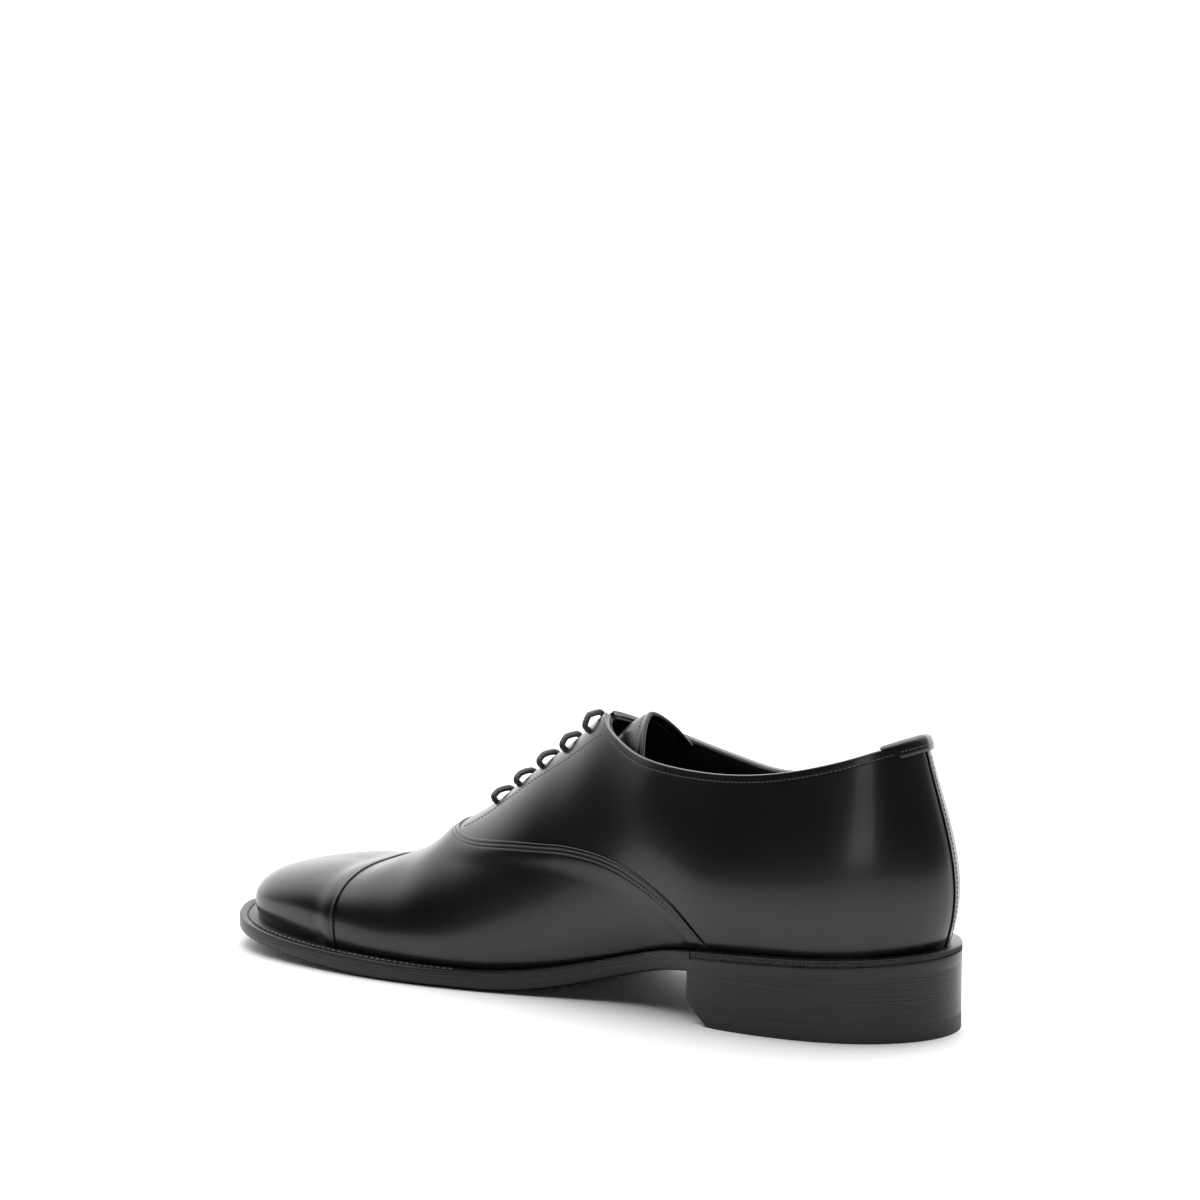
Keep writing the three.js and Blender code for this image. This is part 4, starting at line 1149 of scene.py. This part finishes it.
def build_rand():
    """Rand round the heel, with the wheel's fine upright marks along its edge."""
    near_breast = float(theta_of(HEEL_BREAST))

    def section(theta):
        return [
            (margin(theta), over(WELT_BASE)),
            (0.04, over(WELT_BASE)),
            (0, over(WELT_BASE + 0.04)),
            (0, over(WELT_BASE + 0.3)),
            (0, over(WELT_BASE + 0.36)),
            (0, over(WELT_TOP - 0.56)),
            (0, over(WELT_TOP - 0.5)),
            (0.1, over(WELT_TOP - 0.15)),
            (0.4, over(WELT_TOP)),
            (margin(theta), over(WELT_TOP)),
        ]

    def ripple(rings, theta):
        arc = np.concatenate([[0], np.cumsum(np.linalg.norm(np.diff(rings[:, 4], axis=0), axis=1))])
        wave = 0.5 - 0.5 * np.cos(2 * math.pi * RAND_RIBS * arc / arc[-1])
        inwards = -np.concatenate([outward(theta), np.zeros((len(theta), 1))], 1)
        for k in (4, 5):
            rings[:, k] += inwards * (0.3 * wave)[:, None]
        return rings

    shape = strip(-near_breast, near_breast, RAND_RIBS * 5, section, ripple)
    replaced = ["heel_rand"]
    piece("heel_rand_strip", shape, sole_edge_finish, stands_for=replaced, sharp=70)


def build_heel():
    breast = HEEL_BREAST + 2
    cut = ((breast, 38, NOTCH), unit(np.array([1, 0.62, -1.0])))
    joint = 0.005

    def level(k, above=0):
        return lambda x: TOP_PIECE + (underside(x) - joint - TOP_PIECE) * k / HEEL_LIFTS + above

    def section(low, high):
        inset = 0.12
        return lambda theta: [(8, low), (inset, low), (inset, high), (8, high)]

    def add(name, bottom, top, material, replaced):
        shape = plate(0, breast, 120, section(bottom, top))
        piece(name, shape, material, stands_for=[replaced], sharp=30, cut=cut)

    for k in range(HEEL_LIFTS):
        lift = f"heel_lift_{k + 1}"
        add(f"{lift}_leather", level(k, joint), level(k + 1), sole_edge_finish, lift)
    ground, top = (lambda x: x * 0), (lambda x: x * 0 + TOP_PIECE - 0.02)
    add("top_piece_rubber", ground, top, rubber, "top_piece")


def build_insole():
    base = CREASE + LINING_BOTTOM + GAP

    def inset(theta):
        return welt_width(theta) + LINING_BOTTOM + 2.2 + 2 * ease((x_of(np.abs(theta)) - 250) / 50)

    def board(theta):
        edge = inset(theta)
        return [(edge, over(base)), (edge, over(base + 2.2)), (edge + 0.3, over(base + 2.4))]

    def sock(theta):
        edge, top = inset(theta) + 1, over(base + 3.5)
        return [(edge, over(base + 2.7)), (edge, over(base + 3.3)), (edge + 0.3, top), (edge + 3, top)]

    shape = plate(0, SOLE_LENGTH, 120, board)
    piece("insole_board", shape, lining_leather, stands_for=["insole"])
    shape = plate(0, 92, 90, sock)
    piece("heel_sock_leather", shape, lining_leather, stands_for=["heel_sock"])


def finish_hidden():
    """Materials of the CAD pieces that stay: what the upper and the sole hold inside."""
    kinds = {
        "cork_filler": cork,
        "shank": steel,
        "shank_cover": leatherboard,
        "toe_puff": leatherboard,
        "heel_counter": leatherboard,
        "facing_stay": lining_leather,
        "vamp_lining": lining_leather,
        "eyelet": brass,
        "heel_nail": brass,
    }
    for name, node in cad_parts.items():
        for start, material in kinds.items():
            if name.startswith(start):
                node.data.materials.clear()
                node.data.materials.append(material)


# Studio
CAMERA_PLACE = (-484.94, 1028.38, 305.2)  # millimetres, in the last's frame
HEADING, PITCH = math.radians(-58.455), math.radians(-7.635)
LENS, SENSOR = 99.03, 36
FORWARD = Vector(
    (math.cos(HEADING) * math.cos(PITCH), math.sin(HEADING) * math.cos(PITCH), math.sin(PITCH))
)


def build_camera():
    camera = link("camera", bpy.data.cameras.new("camera"))
    camera.location = Vector(to_frame(CAMERA_PLACE))
    camera.rotation_euler = FORWARD.to_track_quat("-Z", "Y").to_euler()
    camera.data.lens = LENS
    camera.data.sensor_width = SENSOR
    camera.data.clip_start, camera.data.clip_end = 0.05, 200
    bpy.context.scene.camera = camera


def build_floor():
    mesh = bpy.data.meshes.new("floor")
    half = 60
    corners = [(-half, -half, 0), (half, -half, 0), (half, half, 0), (-half, half, 0)]
    mesh.from_pydata(corners, [], [(0, 1, 2, 3)])
    material, _, shader = nodes_of("floor")
    shader.inputs["Base Color"].default_value = (0.9, 0.9, 0.9, 1)
    shader.inputs["Roughness"].default_value = 0.55
    mesh.materials.append(material)
    link("floor", mesh)


def build_world():
    """Sky that is bright ahead and overhead, and almost dark behind."""
    world = bpy.data.worlds.new("studio")
    world.use_nodes = True
    tree = world.node_tree
    background = tree.nodes["Background"]
    coordinates = tree.nodes.new("ShaderNodeTexCoord")
    dot = tree.nodes.new("ShaderNodeVectorMath")
    dot.operation = "DOT_PRODUCT"
    dot.inputs[1].default_value = tuple(Vector((FORWARD.x, FORWARD.y, 0.8)).normalized())
    tree.links.new(coordinates.outputs["Generated"], dot.inputs[0])
    strength = spread(tree, dot.outputs["Value"], 0.005, 2.2, 0.12, 0.75, "SMOOTHSTEP")
    tree.links.new(strength, background.inputs["Strength"])
    background.inputs["Color"].default_value = (1, 1, 1, 1)
    bpy.context.scene.world = world


def softbox(name, place_at, aim, size, power):
    light = bpy.data.lights.new(name, "AREA")
    light.shape = "RECTANGLE"
    light.size, light.size_y = size
    light.energy = power
    lamp = link(name, light)
    lamp.location = place_at
    lamp.rotation_euler = (Vector(aim) - Vector(place_at)).to_track_quat("-Z", "Y").to_euler()


build_camera()
build_floor()
build_world()
softbox("top_box", (0.1, -0.25, 1.5), (0, 0, 0), (1.8, 1.8), 22)
softbox("rear_fill", (-0.62, 1.3, 0.36), (-0.05, 0.04, 0.06), (0.4, 0.3), 0.9)
bpy.context.scene.view_settings.view_transform = "Standard"
bpy.context.scene.view_settings.look = "None"

build_cap()
build_vamp()
for quarter_side in (MEDIAL, LATERAL):
    build_quarter(quarter_side)
    build_lining(quarter_side)
    build_binding(quarter_side)
build_tab()
build_tongue()
build_lace()
build_outsole()
build_welt()
build_rand()
build_heel()
build_insole()
finish_hidden()
